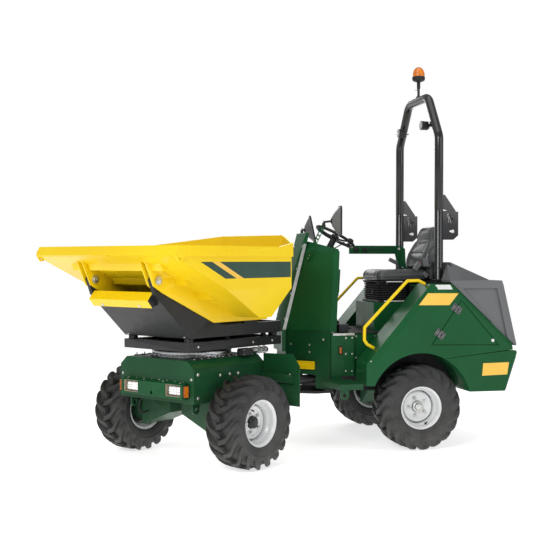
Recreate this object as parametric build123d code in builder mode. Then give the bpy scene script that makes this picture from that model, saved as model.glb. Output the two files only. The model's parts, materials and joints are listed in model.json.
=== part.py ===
"""Articulated site dumper with a swivelling, tipping skip and a fold-down roll bar.

Millimetres, +Z up. The machine is drawn straight, nose to +X, with the articulation axis
as the working origin on the floor. The front half is then turned to its parked steering
angle, and the whole machine is moved so that the origin is the bottom centre of its box.
Outlines called side profiles are lists of (x, z), cross profiles (y, z), plans (x, y).
"""
from build123d import *

from math import cos, hypot, radians, sin, sqrt
import os

os.makedirs("parts", exist_ok=True)

# ---------------------------------------------------------------- driving dimensions
articulation_rest = 36.5        # steering angle at which the machine is parked, degrees
running_gap = 5.0               # between bodies that move past each other
seat_gap = 0.3                  # between a piece and the pad that it rests on
pin_gap = 0.05                  # radial, pin in bore
sheet = 5.0                     # body panels
plate = 10.0                    # structural plate

# wheels
tyre_radius = 330.0
tyre_width = 286.0
rim_radius = 152.0              # bead seat
rim_flange_radius = 166.0
rim_width = 224.0
disc_offset = 24.0              # wheel centre plane to the outer face of the disc
disc_thickness = 8.0
half_track = 587.5
front_axle_x = 945.5
rear_axle_x = -1016.5
motor_radius = 95.0
spindle_radius = 30.0

# articulation pivot
pivot_pin_radius = 25.0
pivot_boss_radius = 72.0
yoke_low = (400.0, 420.0)       # heights of the rear yoke's two plates
yoke_high = (470.0, 490.0)
tongue_gap = 5.0

# rear chassis and bodywork
rail_y = (150.0, 210.0)
rail_z = (460.0, 560.0)
rail_x = (-1709.8, -385.0)
body_half_width = 740.0
body_inner = 455.0
bevel_face = 45.0
bevel_depth = 18.0
arch_centre = (-1000.0, 345.0)
arch_radius = 412.0
liner_y = (406.2, 414.2)
hood_line_top = (-1262.0, 1286.0)     # parting line between green body and rear hood
hood_line_low = (-1790.0, 800.0)
bumper_line_front = (-1184.0, 707.0)  # parting line between green body and bumper
bumper_line_rear = (-1735.0, 766.0)
panel_gap = 6.0
floor_z = 895.0
step_z = (492.0, 535.0)
platform_half_width = 436.0
platform_bottom = 562.0
console_front_half = 150.0
console_half_width = 400.0
console_bottom = 565.0
console_shelf = 905.0
console_top = 1625.0
console_wall = 4.0

# roll bar
rops_x = -1263.0
rops_y = 442.0
rops_tube = 35.0                # tube radius
rops_foot_z = 1301.0
rops_seam_z = 1868.0
rops_bend_z = 2461.0
rops_top_z = 2805.0
rops_top_half = 215.0
rops_pivot = (-1375.0, 1800.0)
bracket_plate = 8.0
bracket_tongue = 16.0

# steering wheel
wheel_centre = (-534.0, 1664.0)
wheel_tilt = 29.3
wheel_ring = 168.0
wheel_tube = 13.0

# hinged panels
hood_hinge = (-1808.0, 800.0)
hood_front = -1345.0            # front edge between its side cheeks
hood_knuckle_y = (470.0, 530.0)
hood_knuckle_radius = 14.0
hood_pin_radius = 7.0
door_corners = ((-1091.0, 822.0), (-1634.0, 812.0), (-1330.0, 1154.0))
door_gap = 6.0
hatch_z = (1200.0, 1396.0)
hatch_half_width = 335.0
hatch_thickness = 18.0

# steering cylinder, ends of the closed linkage (x, y) at height steer_z
steer_anchor = (-330.0, 200.0)
steer_eye = (300.0, 200.0)
steer_z = 528.0
steer_angle_limit = 38.0

# front chassis
deck_z = 765.0
side_y = 380.0
side_bottom = 468.0
shoulder_z = 708.0
deck_half_width = 313.0
nose_x = 1287.0
front_tail_x = 540.0

# slew ring, turntable and skip cradle
slew_x = 925.0
ring_outer = 300.0
ring_joint = 264.0
ring_inner = 200.0
turntable_z = (828.0, 893.0)
turntable_x = (296.0, 1288.0)
turntable_half_width = 339.0
cradle_z = (921.0, 1005.0)
cradle_x = (300.0, 1279.0)
arm_y = 325.0
arm_thickness = 30.0
tip_pin = (1600.0, 1334.0)
tip_pin_radius = 20.0
tip_angle_limit = 70.0

# tipping cylinder, ends of the closed linkage (x, z)
tip_anchor = (1250.0, 975.0)
tip_eye = (500.0, 1020.0)

# skip
skip_wall = 6.0
skip_bottom = 1060.0
skip_fold_z = 1270.0
skip_rim_z = 1495.0
skip_top_z = 1566.0
skip_rear_top_z = 1665.0
skip_half_width = 706.0
skip_rear_half = 318.0
skip_rear_x = 249.0
skip_corner_x = 618.0
skip_lip = (1803.0, 1502.0)
skip_lip_top = (1762.0, 1566.0)
skip_floor_rear = (838.0, 1060.0)
rim_band = 12.0
tab_eye = (1750.0, 1478.0)
tab_eye_radius = 7.0
rib_thickness = 10.0
rib_clear = 6.0
rib_bottom = 1025.0


# ---------------------------------------------------------------- drawing helpers
def block(x, y, z, mode=Mode.ADD):
    """A box given by its (low, high) limits along each axis."""
    with Locations(((x[0] + x[1]) / 2, (y[0] + y[1]) / 2, (z[0] + z[1]) / 2)):
        Box(x[1] - x[0], y[1] - y[0], z[1] - z[0], mode=mode)


def side_plate(profile, y, mode=Mode.ADD):
    """A side profile (x, z) extruded between the two y values."""
    with BuildSketch(Plane.XZ.offset(-y[1])) as outline:
        with BuildLine():
            Polyline(*profile, close=True)
        make_face()
    extrude(outline.sketch, amount=y[1] - y[0], mode=mode)


def cross_plate(profile, x, mode=Mode.ADD):
    """A cross profile (y, z) extruded between the two x values."""
    with BuildSketch(Plane.YZ.offset(x[0])) as outline:
        with BuildLine():
            Polyline(*profile, close=True)
        make_face()
    extrude(outline.sketch, amount=x[1] - x[0], mode=mode)


def plan_plate(plan, z, mode=Mode.ADD):
    """A plan outline (x, y) extruded between the two heights."""
    with BuildSketch(Plane.XY.offset(z[0])) as outline:
        with BuildLine():
            Polyline(*plan, close=True)
        make_face()
    extrude(outline.sketch, amount=z[1] - z[0], mode=mode)


def rod_between(start, end, radius, mode=Mode.ADD):
    """A round bar from one point to another."""
    axis = Vector(*end) - Vector(*start)
    with BuildSketch(Plane(origin=start, z_dir=axis)) as section:
        Circle(radius)
    extrude(section.sketch, amount=axis.length, mode=mode)


def bent_bar(points, bend_radius, radius):
    """A round bar along straight runs joined by bends."""
    with BuildLine() as path:
        FilletPolyline(*points, radius=bend_radius)
    with BuildSketch(Plane(origin=path.line @ 0, z_dir=path.line % 0)) as section:
        Circle(radius)
    sweep(section.sketch, path=path.line)


def ruled_loft(plan_low, z_low, plan_high, z_high, mode=Mode.ADD):
    """A flat-sided solid between two plans with as many corners as each other."""
    with BuildSketch(Plane.XY.offset(z_low)) as low:
        with BuildLine():
            Polyline(*plan_low, close=True)
        make_face()
    with BuildSketch(Plane.XY.offset(z_high)) as high:
        with BuildLine():
            Polyline(*plan_high, close=True)
        make_face()
    loft([low.sketch.face(), high.sketch.face()], ruled=True, mode=mode)


def along(start, end, share):
    """The point that lies a share of the way from start to end."""
    return tuple(a + (b - a) * share for a, b in zip(start, end))


def bar_between(start, end, width, depth, across=(0, 1, 0)):
    """A flat bar from one point to another, its width laid along the across direction."""
    axis = Vector(*end) - Vector(*start)
    with BuildSketch(Plane(origin=start, x_dir=across, z_dir=axis)) as section:
        Rectangle(width, depth)
    extrude(section.sketch, amount=axis.length)


def both_sides(half_plan):
    """A closed plan from its left half, listed from front to rear."""
    return list(half_plan) + [(x, -y) for x, y in reversed(half_plan)]


sides = (1, -1)                 # left, right
pieces = {}                     # node name to (builder, "rear" or "front")


# ================================================================= REAR HALF
# ---------------------------------------------------------------- rear chassis
pillar_x = (rops_x - 40, rops_x + 40)
pillar_y = (335.0, 403.0)
pillar_top = 1270.0
foot_plate_y = (335.0, 500.0)
foot_plate_z = (1284.3, rops_foot_z - 1)
outrigger_z = (480.0, 540.0)

with BuildPart() as rear_chassis:
    for side in sides:
        block(rail_x, sorted((side * rail_y[0], side * rail_y[1])), rail_z)
        block(pillar_x, sorted((side * rail_y[1], side * pillar_y[1])), outrigger_z)
        block(pillar_x, sorted((side * pillar_y[0], side * pillar_y[1])), (outrigger_z[0], foot_plate_z[0]))
        block((pillar_x[0], pillar_x[1] + 8), sorted(side * y for y in foot_plate_y), foot_plate_z)
    for cross_x in (rail_x[0] + 30, rear_axle_x, rail_x[1] - 30):
        block((cross_x - 30, cross_x + 30), (-rail_y[0], rail_y[0]), rail_z)
    for low, high in (yoke_low, yoke_high):
        plan_plate([(rail_x[1], -rail_y[1]), (rail_x[1], rail_y[1]), (steer_anchor[0] + 25, 226),
                    (0, pivot_boss_radius), (0, -pivot_boss_radius), (steer_anchor[0] + 25, -rail_y[1])],
                   (low, high))
        with BuildSketch(Plane.XY.offset(low)):
            Circle(pivot_boss_radius)
        extrude(amount=high - low)
    block((rail_x[1] - 60, rail_x[1]), (-rail_y[1], rail_y[1]), (yoke_low[0], rail_z[1]))
    rod_between((0, 0, yoke_low[0] - 14), (0, 0, yoke_high[1] + 5), pivot_pin_radius)
    # lug for the steering cylinder's rear eye, above the yoke's upper plate
    plan_plate([(rail_x[1] - 20, 130), (rail_x[1] - 20, 226), (steer_anchor[0] + 20, 226),
                (steer_anchor[0] + 24, 170), (rail_x[1], 130)], (steer_z + 23, steer_z + 34))
    block((rail_x[1] - 20, rail_x[1] + 8), (130, 226), (yoke_high[1] - 5, steer_z + 34))
    plan_plate([(rail_x[1], 160), (rail_x[1], 226), (steer_anchor[0] + 20, 226), (steer_anchor[0] + 24, 170)],
               (yoke_high[1] - 1, steer_z - 23))
    rod_between((*steer_anchor, yoke_high[1] - 1), (*steer_anchor, steer_z + 30), 14)
pieces["rear_chassis"] = (rear_chassis, "rear")

# ---------------------------------------------------------------- wheel carriers
carrier_width = 290.0


def wheel_carriers(axle_x, top, inner_y, inner_bottom):
    """Box that hangs from the chassis on each side, with the wheel motor and its spindle."""
    for side in sides:
        cross_plate([(side * inner_y, top), (side * inner_y, inner_bottom),
                     (side * 335, 238), (side * 360, 238), (side * 360, top)],
                    (axle_x - carrier_width / 2, axle_x + carrier_width / 2))
        disc_inner = half_track + disc_offset - disc_thickness
        rod_between((axle_x, side * 360, tyre_radius), (axle_x, side * (disc_inner - 3), tyre_radius),
                    motor_radius)
        rod_between((axle_x, side * 500, tyre_radius), (axle_x, side * (disc_inner + 40), tyre_radius),
                    spindle_radius)


with BuildPart() as rear_wheel_carriers:
    wheel_carriers(rear_axle_x, rail_z[0], rail_y[0], 360.0)
pieces["rear_wheel_carriers"] = (rear_wheel_carriers, "rear")

# ---------------------------------------------------------------- side bodies
body_low = 515.0
skin_outline = [(-565, 440), (-565, 680), (-1081, 1284), (-1258, 1284), (-1762, 820), (-1762, 440)]


def inset_outline(amount):
    """The skin outline drawn in along its front, diagonal and top edges."""
    slope = hypot(1081 - 565, 1284 - 680)
    lean = 516 / 604
    front_x = -565 - amount
    top_z = 1284 - amount
    shift = amount * slope / 604

    def diagonal_x(z):
        return -565 - (z - 680) * lean - shift

    front_z = 680 + (-565 - shift - front_x) / lean
    return [(front_x, 440), (front_x, front_z), (diagonal_x(top_z), top_z), (-1258 - amount * 0.4, top_z),
            (-1762, 820 - amount), (-1762, 440)]


def side_solid(wall):
    """Left body: flat inner part with a bevelled outer skin, all drawn in by the wall."""
    edge_y = body_half_width - bevel_depth
    outline = skin_outline if wall == 0 else inset_outline(wall)
    face = inset_outline(bevel_face + wall)
    side_plate(outline, (body_inner + wall, edge_y - wall))
    with BuildSketch(Plane.XZ.offset(-(edge_y - wall))) as root:
        with BuildLine():
            Polyline(*outline, close=True)
        make_face()
    with BuildSketch(Plane.XZ.offset(-(body_half_width - wall))) as skin:
        with BuildLine():
            Polyline(*face, close=True)
        make_face()
    loft([root.sketch.face(), skin.sketch.face()], ruled=True)
    # everything below the hood and bumper parting lines is left, the rest goes
    drop = panel_gap / 2 + wall
    side_plate([(hood_line_top[0] + 200, hood_line_top[1] + 190 - drop),
                (hood_line_top[0], hood_line_top[1] - drop),
                (hood_line_low[0] - 60, hood_line_low[1] - 55 - drop), (-2200, 800), (-2200, 1600),
                (-1000, 1600)],
               (300, 900), mode=Mode.SUBTRACT)
    side_plate([(bumper_line_front[0] + 160, bumper_line_front[1] - 17 + drop),
                (bumper_line_rear[0] - 200, bumper_line_rear[1] + 21 + drop),
                (-2200, 700), (-2200, 300), (bumper_line_front[0] + 160, 300)], (300, 900),
               mode=Mode.SUBTRACT)
    # wheel arch
    with BuildSketch(Plane.XZ.offset(-900)) as arch:
        with Locations(arch_centre):
            Circle(arch_radius + wall)
    extrude(arch.sketch, amount=600, mode=Mode.SUBTRACT)
    block((-2200, -565), (300, 900), (0, body_low + wall), mode=Mode.SUBTRACT)


with BuildPart() as side_void:
    side_solid(sheet)

door_foot, door_head = (Vector(door_corners[i][0], 0, door_corners[i][1]) for i in (0, 2))
door_axis = door_head - door_foot


def grown_triangle(corners, amount):
    """A triangle with each edge moved outwards by the amount."""
    lengths = [hypot(corners[i - 1][0] - corners[i - 2][0],
                     corners[i - 1][1] - corners[i - 2][1]) for i in (0, 1, 2)]
    perimeter = sum(lengths)
    centre = [sum(length * corner[i] for length, corner in zip(lengths, corners)) / perimeter for i in (0, 1)]
    (x0, z0), (x1, z1), (x2, z2) = corners
    inradius = abs((x1 - x0) * (z2 - z0) - (x2 - x0) * (z1 - z0)) / perimeter
    return [along(centre, corner, 1 + amount / inradius) for corner in corners]


hinge_plane_y = body_half_width + 9


def hinge_spot(share):
    """A point on the charge door's hinge line."""
    x, z = along(door_corners[0], door_corners[2], share)
    return Vector(x, hinge_plane_y, z)


hinge_shares = (0.24, 0.82)
hinge_length = 56.0
knuckle_radius = 8.0


door_knuckle = 26.0


def hinge_leaf(share, near, far, length):
    """One leaf of a door hinge, lying on the skin between two distances from the hinge line."""
    spot = hinge_spot(share)
    leaf_plane = Plane(origin=(spot.X, body_half_width, spot.Z), x_dir=door_axis, z_dir=(0, 1, 0))
    with BuildSketch(leaf_plane) as leaf:
        with Locations((0, (near + far) / 2)):
            Rectangle(length, abs(far - near))
    extrude(leaf.sketch, amount=5)


def hinge_run(share, start, end, radius, mode=Mode.ADD):
    """A round length on the hinge line, measured from the hinge's middle."""
    along_hinge = door_axis.normalized()
    spot = hinge_spot(share)
    rod_between(tuple(spot + along_hinge * start), tuple(spot + along_hinge * end), radius, mode)


with BuildPart() as side_body_left:
    side_solid(0)
    add(side_void.part, mode=Mode.SUBTRACT)
    # frame behind the charge door's edge
    side_plate(grown_triangle(door_corners, 24), (body_half_width - sheet - 11, body_half_width - sheet + 1))
    side_plate(grown_triangle(door_corners, door_gap), (body_half_width - sheet - 6, body_half_width + 1),
               mode=Mode.SUBTRACT)
    side_plate(grown_triangle(door_corners, -18), (body_half_width - 40, body_half_width + 1),
               mode=Mode.SUBTRACT)
    for share in hinge_shares:
        hinge_leaf(share, knuckle_radius + 2, 38, hinge_length)
        for end in sides:
            inner_end = end * (door_knuckle / 2 + 1)
            hinge_run(share, inner_end, end * hinge_length / 2, knuckle_radius)
            lug = hinge_spot(share) + door_axis.normalized() * (end * (door_knuckle + hinge_length + 2) / 4)
            with BuildSketch(Plane(origin=(lug.X, body_half_width, lug.Z), x_dir=door_axis, z_dir=(0, 1, 0))):
                with Locations((0, 8)):
                    Rectangle(hinge_length / 2 - door_knuckle / 2 - 1, 16)
            extrude(amount=5)
        hinge_run(share, -hinge_length / 2, hinge_length / 2, 3)
pieces["side_body_left"] = (side_body_left, "rear")

with BuildPart() as side_body_plain:
    side_solid(0)
    add(side_void.part, mode=Mode.SUBTRACT)

with BuildPart() as side_body_right:
    add(side_body_plain.part.mirror(Plane.XZ))
pieces["side_body_right"] = (side_body_right, "rear")

# ---------------------------------------------------------------- charge door
with BuildPart() as charge_door:
    side_plate(door_corners, (body_half_width - sheet, body_half_width))
    for share in hinge_shares:
        hinge_leaf(share, 0, -40, door_knuckle)
        hinge_run(share, -door_knuckle / 2, door_knuckle / 2, knuckle_radius)
        hinge_run(share, -hinge_length, hinge_length, 3 + pin_gap, mode=Mode.SUBTRACT)
    with Locations(Plane(origin=(-1590, body_half_width, 845), z_dir=(0, 1, 0))):
        Cylinder(12, 6, align=(Align.CENTER, Align.CENTER, Align.MIN))
pieces["charge_door"] = (charge_door, "rear")

# ---------------------------------------------------------------- wheel arch liners
with BuildPart() as wheel_arch_liners:
    for side in sides:
        with BuildSketch(Plane.XZ.offset(-side * (liner_y[0] + liner_y[1]) / 2)):
            with Locations(arch_centre):
                Circle(arch_radius + 40)
                with Locations((0, -250)):
                    Rectangle(1000, 700, mode=Mode.SUBTRACT)
        extrude(amount=(liner_y[1] - liner_y[0]) / 2, both=True)
pieces["wheel_arch_liners"] = (wheel_arch_liners, "rear")

# ---------------------------------------------------------------- rear bumper
bumper_wall = 30.0
bumper_bottom = 450.0
# leaning chamfer at the rear corners: its foot (x, z), its lean and its run in plan
corner_foot = (-1695.0, bumper_bottom - 1)
corner_rise = Vector(-90, 0, 266)
corner_run = Vector(-49, -80, 0)


def bumper_solid(wall):
    """Rear bumper block, drawn in by the wall: chamfered plan, leaning rear face."""
    half = body_half_width - wall
    side_plate([(-1150, bumper_bottom + wall), (-1744 + wall, bumper_bottom - 2 + wall), (-1828 + wall, 700),
                (-1790 + wall, 762 - wall), (bumper_line_rear[0], bumper_line_rear[1] - 3 - wall),
                (-1150, 704 - wall)], (-half, half))
    for side in sides:
        foot = Vector(corner_foot[0], side * body_half_width, corner_foot[1])
        outward = (Vector(corner_run.X, side * corner_run.Y, 0).cross(corner_rise) * side).normalized()
        with BuildSketch(Plane(origin=foot - outward * wall, z_dir=outward)) as corner:
            Rectangle(1200, 1200)
        extrude(corner.sketch, amount=300, mode=Mode.SUBTRACT)
        with BuildSketch(Plane.XZ.offset(-side * 700)) as arch:
            with Locations(arch_centre):
                Circle(arch_radius + wall * 0.2)
        extrude(arch.sketch, amount=300, both=True, mode=Mode.SUBTRACT)


with BuildPart() as bumper_void:
    bumper_solid(bumper_wall)

with BuildPart() as rear_bumper:
    bumper_solid(0)
    add(bumper_void.part, mode=Mode.SUBTRACT)
    block((-1710, -1100), (-430, 430), (400, 900), mode=Mode.SUBTRACT)
    # hinge lugs of the hood
    for side in sides:
        for face in (hood_knuckle_y[0] - 12, hood_knuckle_y[1] + 2):
            side_plate([(-1812, 715), (-1822, 800), (-1818, 810), (-1800, 812), (-1792, 800), (-1775, 750),
                        (-1775, 715)],
                       sorted((side * face, side * (face + 10))))
        rod_between((hood_hinge[0], side * (hood_knuckle_y[0] - 12), hood_hinge[1]),
                    (hood_hinge[0], side * (hood_knuckle_y[1] + 12), hood_hinge[1]), hood_pin_radius)
pieces["rear_bumper"] = (rear_bumper, "rear")

# ---------------------------------------------------------------- platform
seat_box_x = (-1100.0, -790.0)
seat_box_half = 235.0
seat_box_top = 1125.0
bulkhead_x = -1120.0

with BuildPart() as platform:
    between_liners = liner_y[0] - 0.2
    block((bulkhead_x, -560 + sheet), (-between_liners, between_liners), (platform_bottom, floor_z))
    block((-560, -372), (-platform_half_width, platform_half_width), (platform_bottom, floor_z))
    block((bulkhead_x + sheet, -560 + sheet + 1), (-between_liners + sheet, between_liners - sheet),
          (platform_bottom - 1, floor_z - sheet), mode=Mode.SUBTRACT)
    block((-560 + sheet, -372 - sheet), (-platform_half_width + sheet, platform_half_width - sheet),
          (platform_bottom - 1, floor_z - sheet), mode=Mode.SUBTRACT)
    for side in sides:
        block((-455, -372), sorted((side * (platform_half_width - sheet), side * platform_half_width)),
              (step_z[1] + 0.2, platform_bottom + 1))
    block((bulkhead_x, bulkhead_x + sheet), (-445, 445), (floor_z - sheet, pillar_top))
    block((pillar_x[1] + 10, bulkhead_x + sheet), (-445, 445), (pillar_top - sheet, pillar_top))
    block((rops_x - 30, pillar_x[1] + 10), (-325, 325), (pillar_top - sheet, pillar_top))
pieces["platform"] = (platform, "rear")

# ---------------------------------------------------------------- console
base_front = (-74.3, console_front_half)
base_rear = (-362.0, platform_half_width - 24)
base_drop_share = 0.69          # how far along the oblique panel its lower part starts


def oblique(share, depth, side):
    """A plan point on the oblique panel, or behind it by the depth."""
    run_x = base_rear[0] - base_front[0]
    run_y = base_rear[1] - base_front[1]
    length = hypot(run_x, run_y)
    x = base_front[0] + run_x * share - depth * run_y / length
    y = base_front[1] + run_y * share + depth * run_x / length
    return (x, side * y)


with BuildPart() as console_base:
    plan_plate(both_sides([base_front, base_rear, (-371, base_rear[1])]),
               (console_bottom, console_shelf - 0.5))
    plan_plate(both_sides([(base_front[0] - sheet, base_front[1] - 3), (base_rear[0] + 2, base_rear[1] - 7),
                           (-366, base_rear[1] - 7)]), (console_bottom - 1, console_shelf - sheet),
               mode=Mode.SUBTRACT)
    for side in sides:
        plan_plate([oblique(base_drop_share, 0, side), oblique(1, 0, side), oblique(1, sheet, side),
                    oblique(base_drop_share, sheet, side)], (458, console_bottom + 1))
pieces["console_base"] = (console_base, "rear")


def console_rear(z):
    """The x of the console's rear face at a height."""
    return -424 - 42 * (z - console_shelf) / (console_top - console_shelf)


hatch_x = console_rear(hatch_z[0]) - running_gap - 0.3
hatch_pivot = (hatch_x - 8, hatch_z[0] - 7)


def console_plan(z, wall):
    """Plan of the console at a height, leaning back and narrowing towards the top."""
    rise = (z - console_shelf) / (console_top - console_shelf)
    front_x = -74.3 - 181.4 * rise - wall
    rear_x = console_rear(z) + wall
    front_half = console_front_half - 22 * rise - wall
    rear_half = console_half_width - 42 * rise - wall
    return both_sides([(front_x, front_half), (rear_x + 48 - wall, rear_half), (rear_x, rear_half)])


def cut_console_top(drop):
    """Takes off what stands above the sloping top, its rear fold and the two side bevels."""
    side_plate([(-200, 1644 - drop), (-300, 1614 - drop), (-424, 1566 - drop), (-450 + drop, 1556 - drop),
                (-461 + drop, 1532 - drop), (-600, 1532 - drop), (-600, 1700), (-200, 1700)],
               (-500, 500), mode=Mode.SUBTRACT)
    for side in sides:
        bevel = Plane(origin=(-297, side * 205, 1548), z_dir=(0.570, side * 0.508, 0.647))
        with BuildSketch(bevel.offset(-drop)) as cut:
            Rectangle(900, 900)
        extrude(cut.sketch, amount=300, mode=Mode.SUBTRACT)


with BuildPart() as console_void:
    ruled_loft(console_plan(console_shelf, console_wall), console_shelf - 1,
               console_plan(console_top, console_wall), console_top)
    cut_console_top(console_wall)

with BuildPart() as console:
    ruled_loft(console_plan(console_shelf, 0), console_shelf, console_plan(console_top, 0), console_top)
    cut_console_top(0)
    add(console_void.part, mode=Mode.SUBTRACT)
    block((-490, -430), (-hatch_half_width + 22, hatch_half_width - 22), (hatch_z[0] + 18, hatch_z[1] - 16),
          mode=Mode.SUBTRACT)
    # hinge lugs of the rear hatch, each with a pin stub
    for side in sides:
        ear_y = sorted((side * hatch_half_width, side * (hatch_half_width - 10)))
        block((hatch_pivot[0] - 7, console_rear(hatch_pivot[1]) + 2), ear_y,
              (hatch_pivot[1] - 7, hatch_pivot[1] + 7))
        rod_between((hatch_pivot[0], side * (hatch_half_width - 5), hatch_pivot[1]),
                    (hatch_pivot[0], side * (hatch_half_width - 28), hatch_pivot[1]), 4)
pieces["console"] = (console, "rear")

front_plate_profile = [(-45, 738), (-45, 900), (-244, 1690), (-272, 1690), (-74, 904), (-74, 738)]
with BuildPart() as console_front_cover:
    side_plate(front_plate_profile, (-console_front_half, console_front_half))
pieces["console_front_cover"] = (console_front_cover, "rear")

with BuildPart() as console_hatch:
    top_shift = console_rear(hatch_z[1]) - console_rear(hatch_z[0])
    side_plate([(hatch_x, hatch_z[0]), (hatch_x + top_shift, hatch_z[1]),
                (hatch_x + top_shift - hatch_thickness, hatch_z[1]), (hatch_x - hatch_thickness, hatch_z[0])],
               (-hatch_half_width, hatch_half_width))
    for side in sides:
        block((hatch_x - 100, hatch_x + 50), sorted((side * (hatch_half_width - 12),
                                                     side * (hatch_half_width + 5))),
              (hatch_z[0] - 5, hatch_z[0] + 12), mode=Mode.SUBTRACT)
    knuckle_y = hatch_half_width - 11
    rod_between((hatch_pivot[0], -knuckle_y, hatch_pivot[1]), (hatch_pivot[0], knuckle_y, hatch_pivot[1]),
                7.5)
    block((hatch_pivot[0] - 7, hatch_pivot[0] + 7), (-knuckle_y, knuckle_y), (hatch_pivot[1], hatch_z[0] + 3))
    for side in sides:
        rod_between((hatch_pivot[0], side * (knuckle_y + 1), hatch_pivot[1]),
                    (hatch_pivot[0], side * (knuckle_y - 22), hatch_pivot[1]), 4 + pin_gap,
                    mode=Mode.SUBTRACT)
pieces["console_hatch"] = (console_hatch, "rear")

# ---------------------------------------------------------------- steering column and wheel
axis_x = -sin(radians(wheel_tilt))
axis_z = cos(radians(wheel_tilt))


def on_column(distance):
    """A point on the column's axis, measured up from the steering wheel's centre."""
    return (wheel_centre[0] + axis_x * distance, 0, wheel_centre[1] + axis_z * distance)


with BuildPart() as steering_column:
    rod_between(on_column(-125), on_column(-24), 26)
    rod_between(on_column(-24), on_column(-8), 12)
    side_plate([(console_rear(1460) - 0.2, 1460), (console_rear(1542) - 0.2, 1542), (-470, 1568),
                (-510, 1580), (-525, 1530)], (-45, 45))
pieces["steering_column"] = (steering_column, "rear")

with BuildPart() as steering_wheel:
    wheel_plane = Plane(origin=on_column(0), x_dir=(axis_z, 0, -axis_x), z_dir=(axis_x, 0, axis_z))
    with Locations(wheel_plane):
        Torus(wheel_ring, wheel_tube)
        Cylinder(32, 22)
    with BuildSketch(wheel_plane.offset(-18)):
        with PolarLocations(wheel_ring / 2, 3):
            Rectangle(wheel_ring, 22)
    extrude(amount=12)
    with BuildSketch(wheel_plane.offset(-22)):
        Circle(12 + 1)
    extrude(amount=16, mode=Mode.SUBTRACT)
    knob = wheel_plane.from_local_coords((-wheel_ring * 0.9, -wheel_ring * 0.43, 0))
    tip = wheel_plane.from_local_coords((-wheel_ring * 0.9, -wheel_ring * 0.43, 66))
    rod_between(knob, tip, 27)
pieces["steering_wheel"] = (steering_wheel, "rear")

# ---------------------------------------------------------------- mirrors
# side, centre of the glass, the way that it faces, top of the arm
mirror_table = ((1, (-462, 383, 1777), (-0.987, 0.162, 0), (-338, 334, 1742)),
                (-1, (-449, -383, 1735), (-0.957, 0.203, 0.208), (-338, -334, 1705)))
with BuildPart() as mirrors:
    for side, centre, facing, arm_top in mirror_table:
        across = Vector(facing).cross(Vector(0, 0, 1))
        head = Plane(origin=centre, x_dir=across, z_dir=facing)
        with BuildSketch(head) as glass_side:
            RectangleRounded(164, 236, 28)
        with BuildSketch(head.offset(-70)) as back_side:
            RectangleRounded(44, 64, 14)
        loft([glass_side.sketch.face(), back_side.sketch.face()], ruled=True)
        bar_between((-232, side * 180, arm_top[2] - 292), arm_top, 34, 9)
        ruled_loft(console_plan(console_shelf, 0), console_shelf, console_plan(console_top, 0), console_top,
                   mode=Mode.SUBTRACT)
        stem = Vector(arm_top) + Vector(-14, side * 12, 30)
        rod_between(Vector(arm_top) - Vector(0, 0, 12), stem, 9)
        rod_between(stem - Vector(0, 0, 4), Vector(centre) - Vector(facing) * 60, 11)
pieces["mirrors"] = (mirrors, "rear")

# ---------------------------------------------------------------- hand rails
handle_route = ((-657.4, 793.4), (-604, 822), (-580, 856), (-582, 953), (-930, 1309), (-1022, 1311),
                (-1073.5, 1284.3))
handle_y = 620.0
with BuildPart() as hand_rails:
    for side in sides:
        bent_bar([(x, side * handle_y, z) for x, z in handle_route], 22, 12.5)
pieces["hand_rails"] = (hand_rails, "rear")

# ---------------------------------------------------------------- steps
step_eye = (-385.0, 452.0)
step_eye_radius = 16.0
with BuildPart() as steps:
    for side in sides:
        plan = [(-285, side * (platform_half_width + 0.2)), (-345, side * 752), (-530, side * 752),
                (-530, side * (platform_half_width + 0.2))]
        plan_plate(plan, step_z)
        inner = [(-296, side * (platform_half_width + 7)), (-350, side * 746), (-524, side * 746),
                 (-524, side * (platform_half_width + 7))]
        plan_plate(inner, (step_z[0] - 1, step_z[1] - sheet), mode=Mode.SUBTRACT)
        with BuildSketch(Plane.XZ.offset(-side * 740)):
            with Locations(step_eye):
                Circle(34)
            with Locations((step_eye[0], step_eye[1] + 22)):
                Rectangle(68, 44)
        extrude(amount=6, both=True)
        with BuildSketch(Plane.XZ.offset(-side * 740)):
            with Locations(step_eye):
                Circle(step_eye_radius)
        extrude(amount=10, both=True, mode=Mode.SUBTRACT)
pieces["steps"] = (steps, "rear")

# ---------------------------------------------------------------- seat
with BuildPart() as seat_base:
    block(seat_box_x, (-seat_box_half, seat_box_half), (floor_z, seat_box_top))
    block((seat_box_x[0] + sheet, seat_box_x[1] - sheet), (-seat_box_half + sheet, seat_box_half - sheet),
          (floor_z - 1, seat_box_top - sheet), mode=Mode.SUBTRACT)
pieces["seat_base"] = (seat_base, "rear")

bellows_z = (seat_box_top, 1300.0)
bellows_centre = -973.0
with BuildPart() as seat_suspension:
    block((-1106, -838), (-215, 215), (bellows_z[0], bellows_z[0] + 18))
    for level in range(4):
        low = bellows_z[0] + 18 + level * 34
        for start, end, near, far in ((0, 17, 268, 240), (17, 34, 240, 268)):
            with BuildSketch(Plane.XY.offset(low + start)):
                with Locations((bellows_centre, 0)):
                    RectangleRounded(near, near + 152, 40)
            with BuildSketch(Plane.XY.offset(low + end)):
                with Locations((bellows_centre, 0)):
                    RectangleRounded(far, far + 152, 40)
            loft(ruled=True)
    block((-1330, -835), (-225, 225), (bellows_z[1] - 22, bellows_z[1]))
pieces["seat_suspension"] = (seat_suspension, "rear")

with BuildPart() as seat_cushion:
    with BuildSketch(Plane.XY.offset(bellows_z[1] + seat_gap)):
        with Locations((-1047, 0)):
            RectangleRounded(444, 460, 70)
    extrude(amount=98)
    fillet(seat_cushion.faces().sort_by(Axis.Z)[-1].edges(), 24)
pieces["seat_cushion"] = (seat_cushion, "rear")

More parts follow.
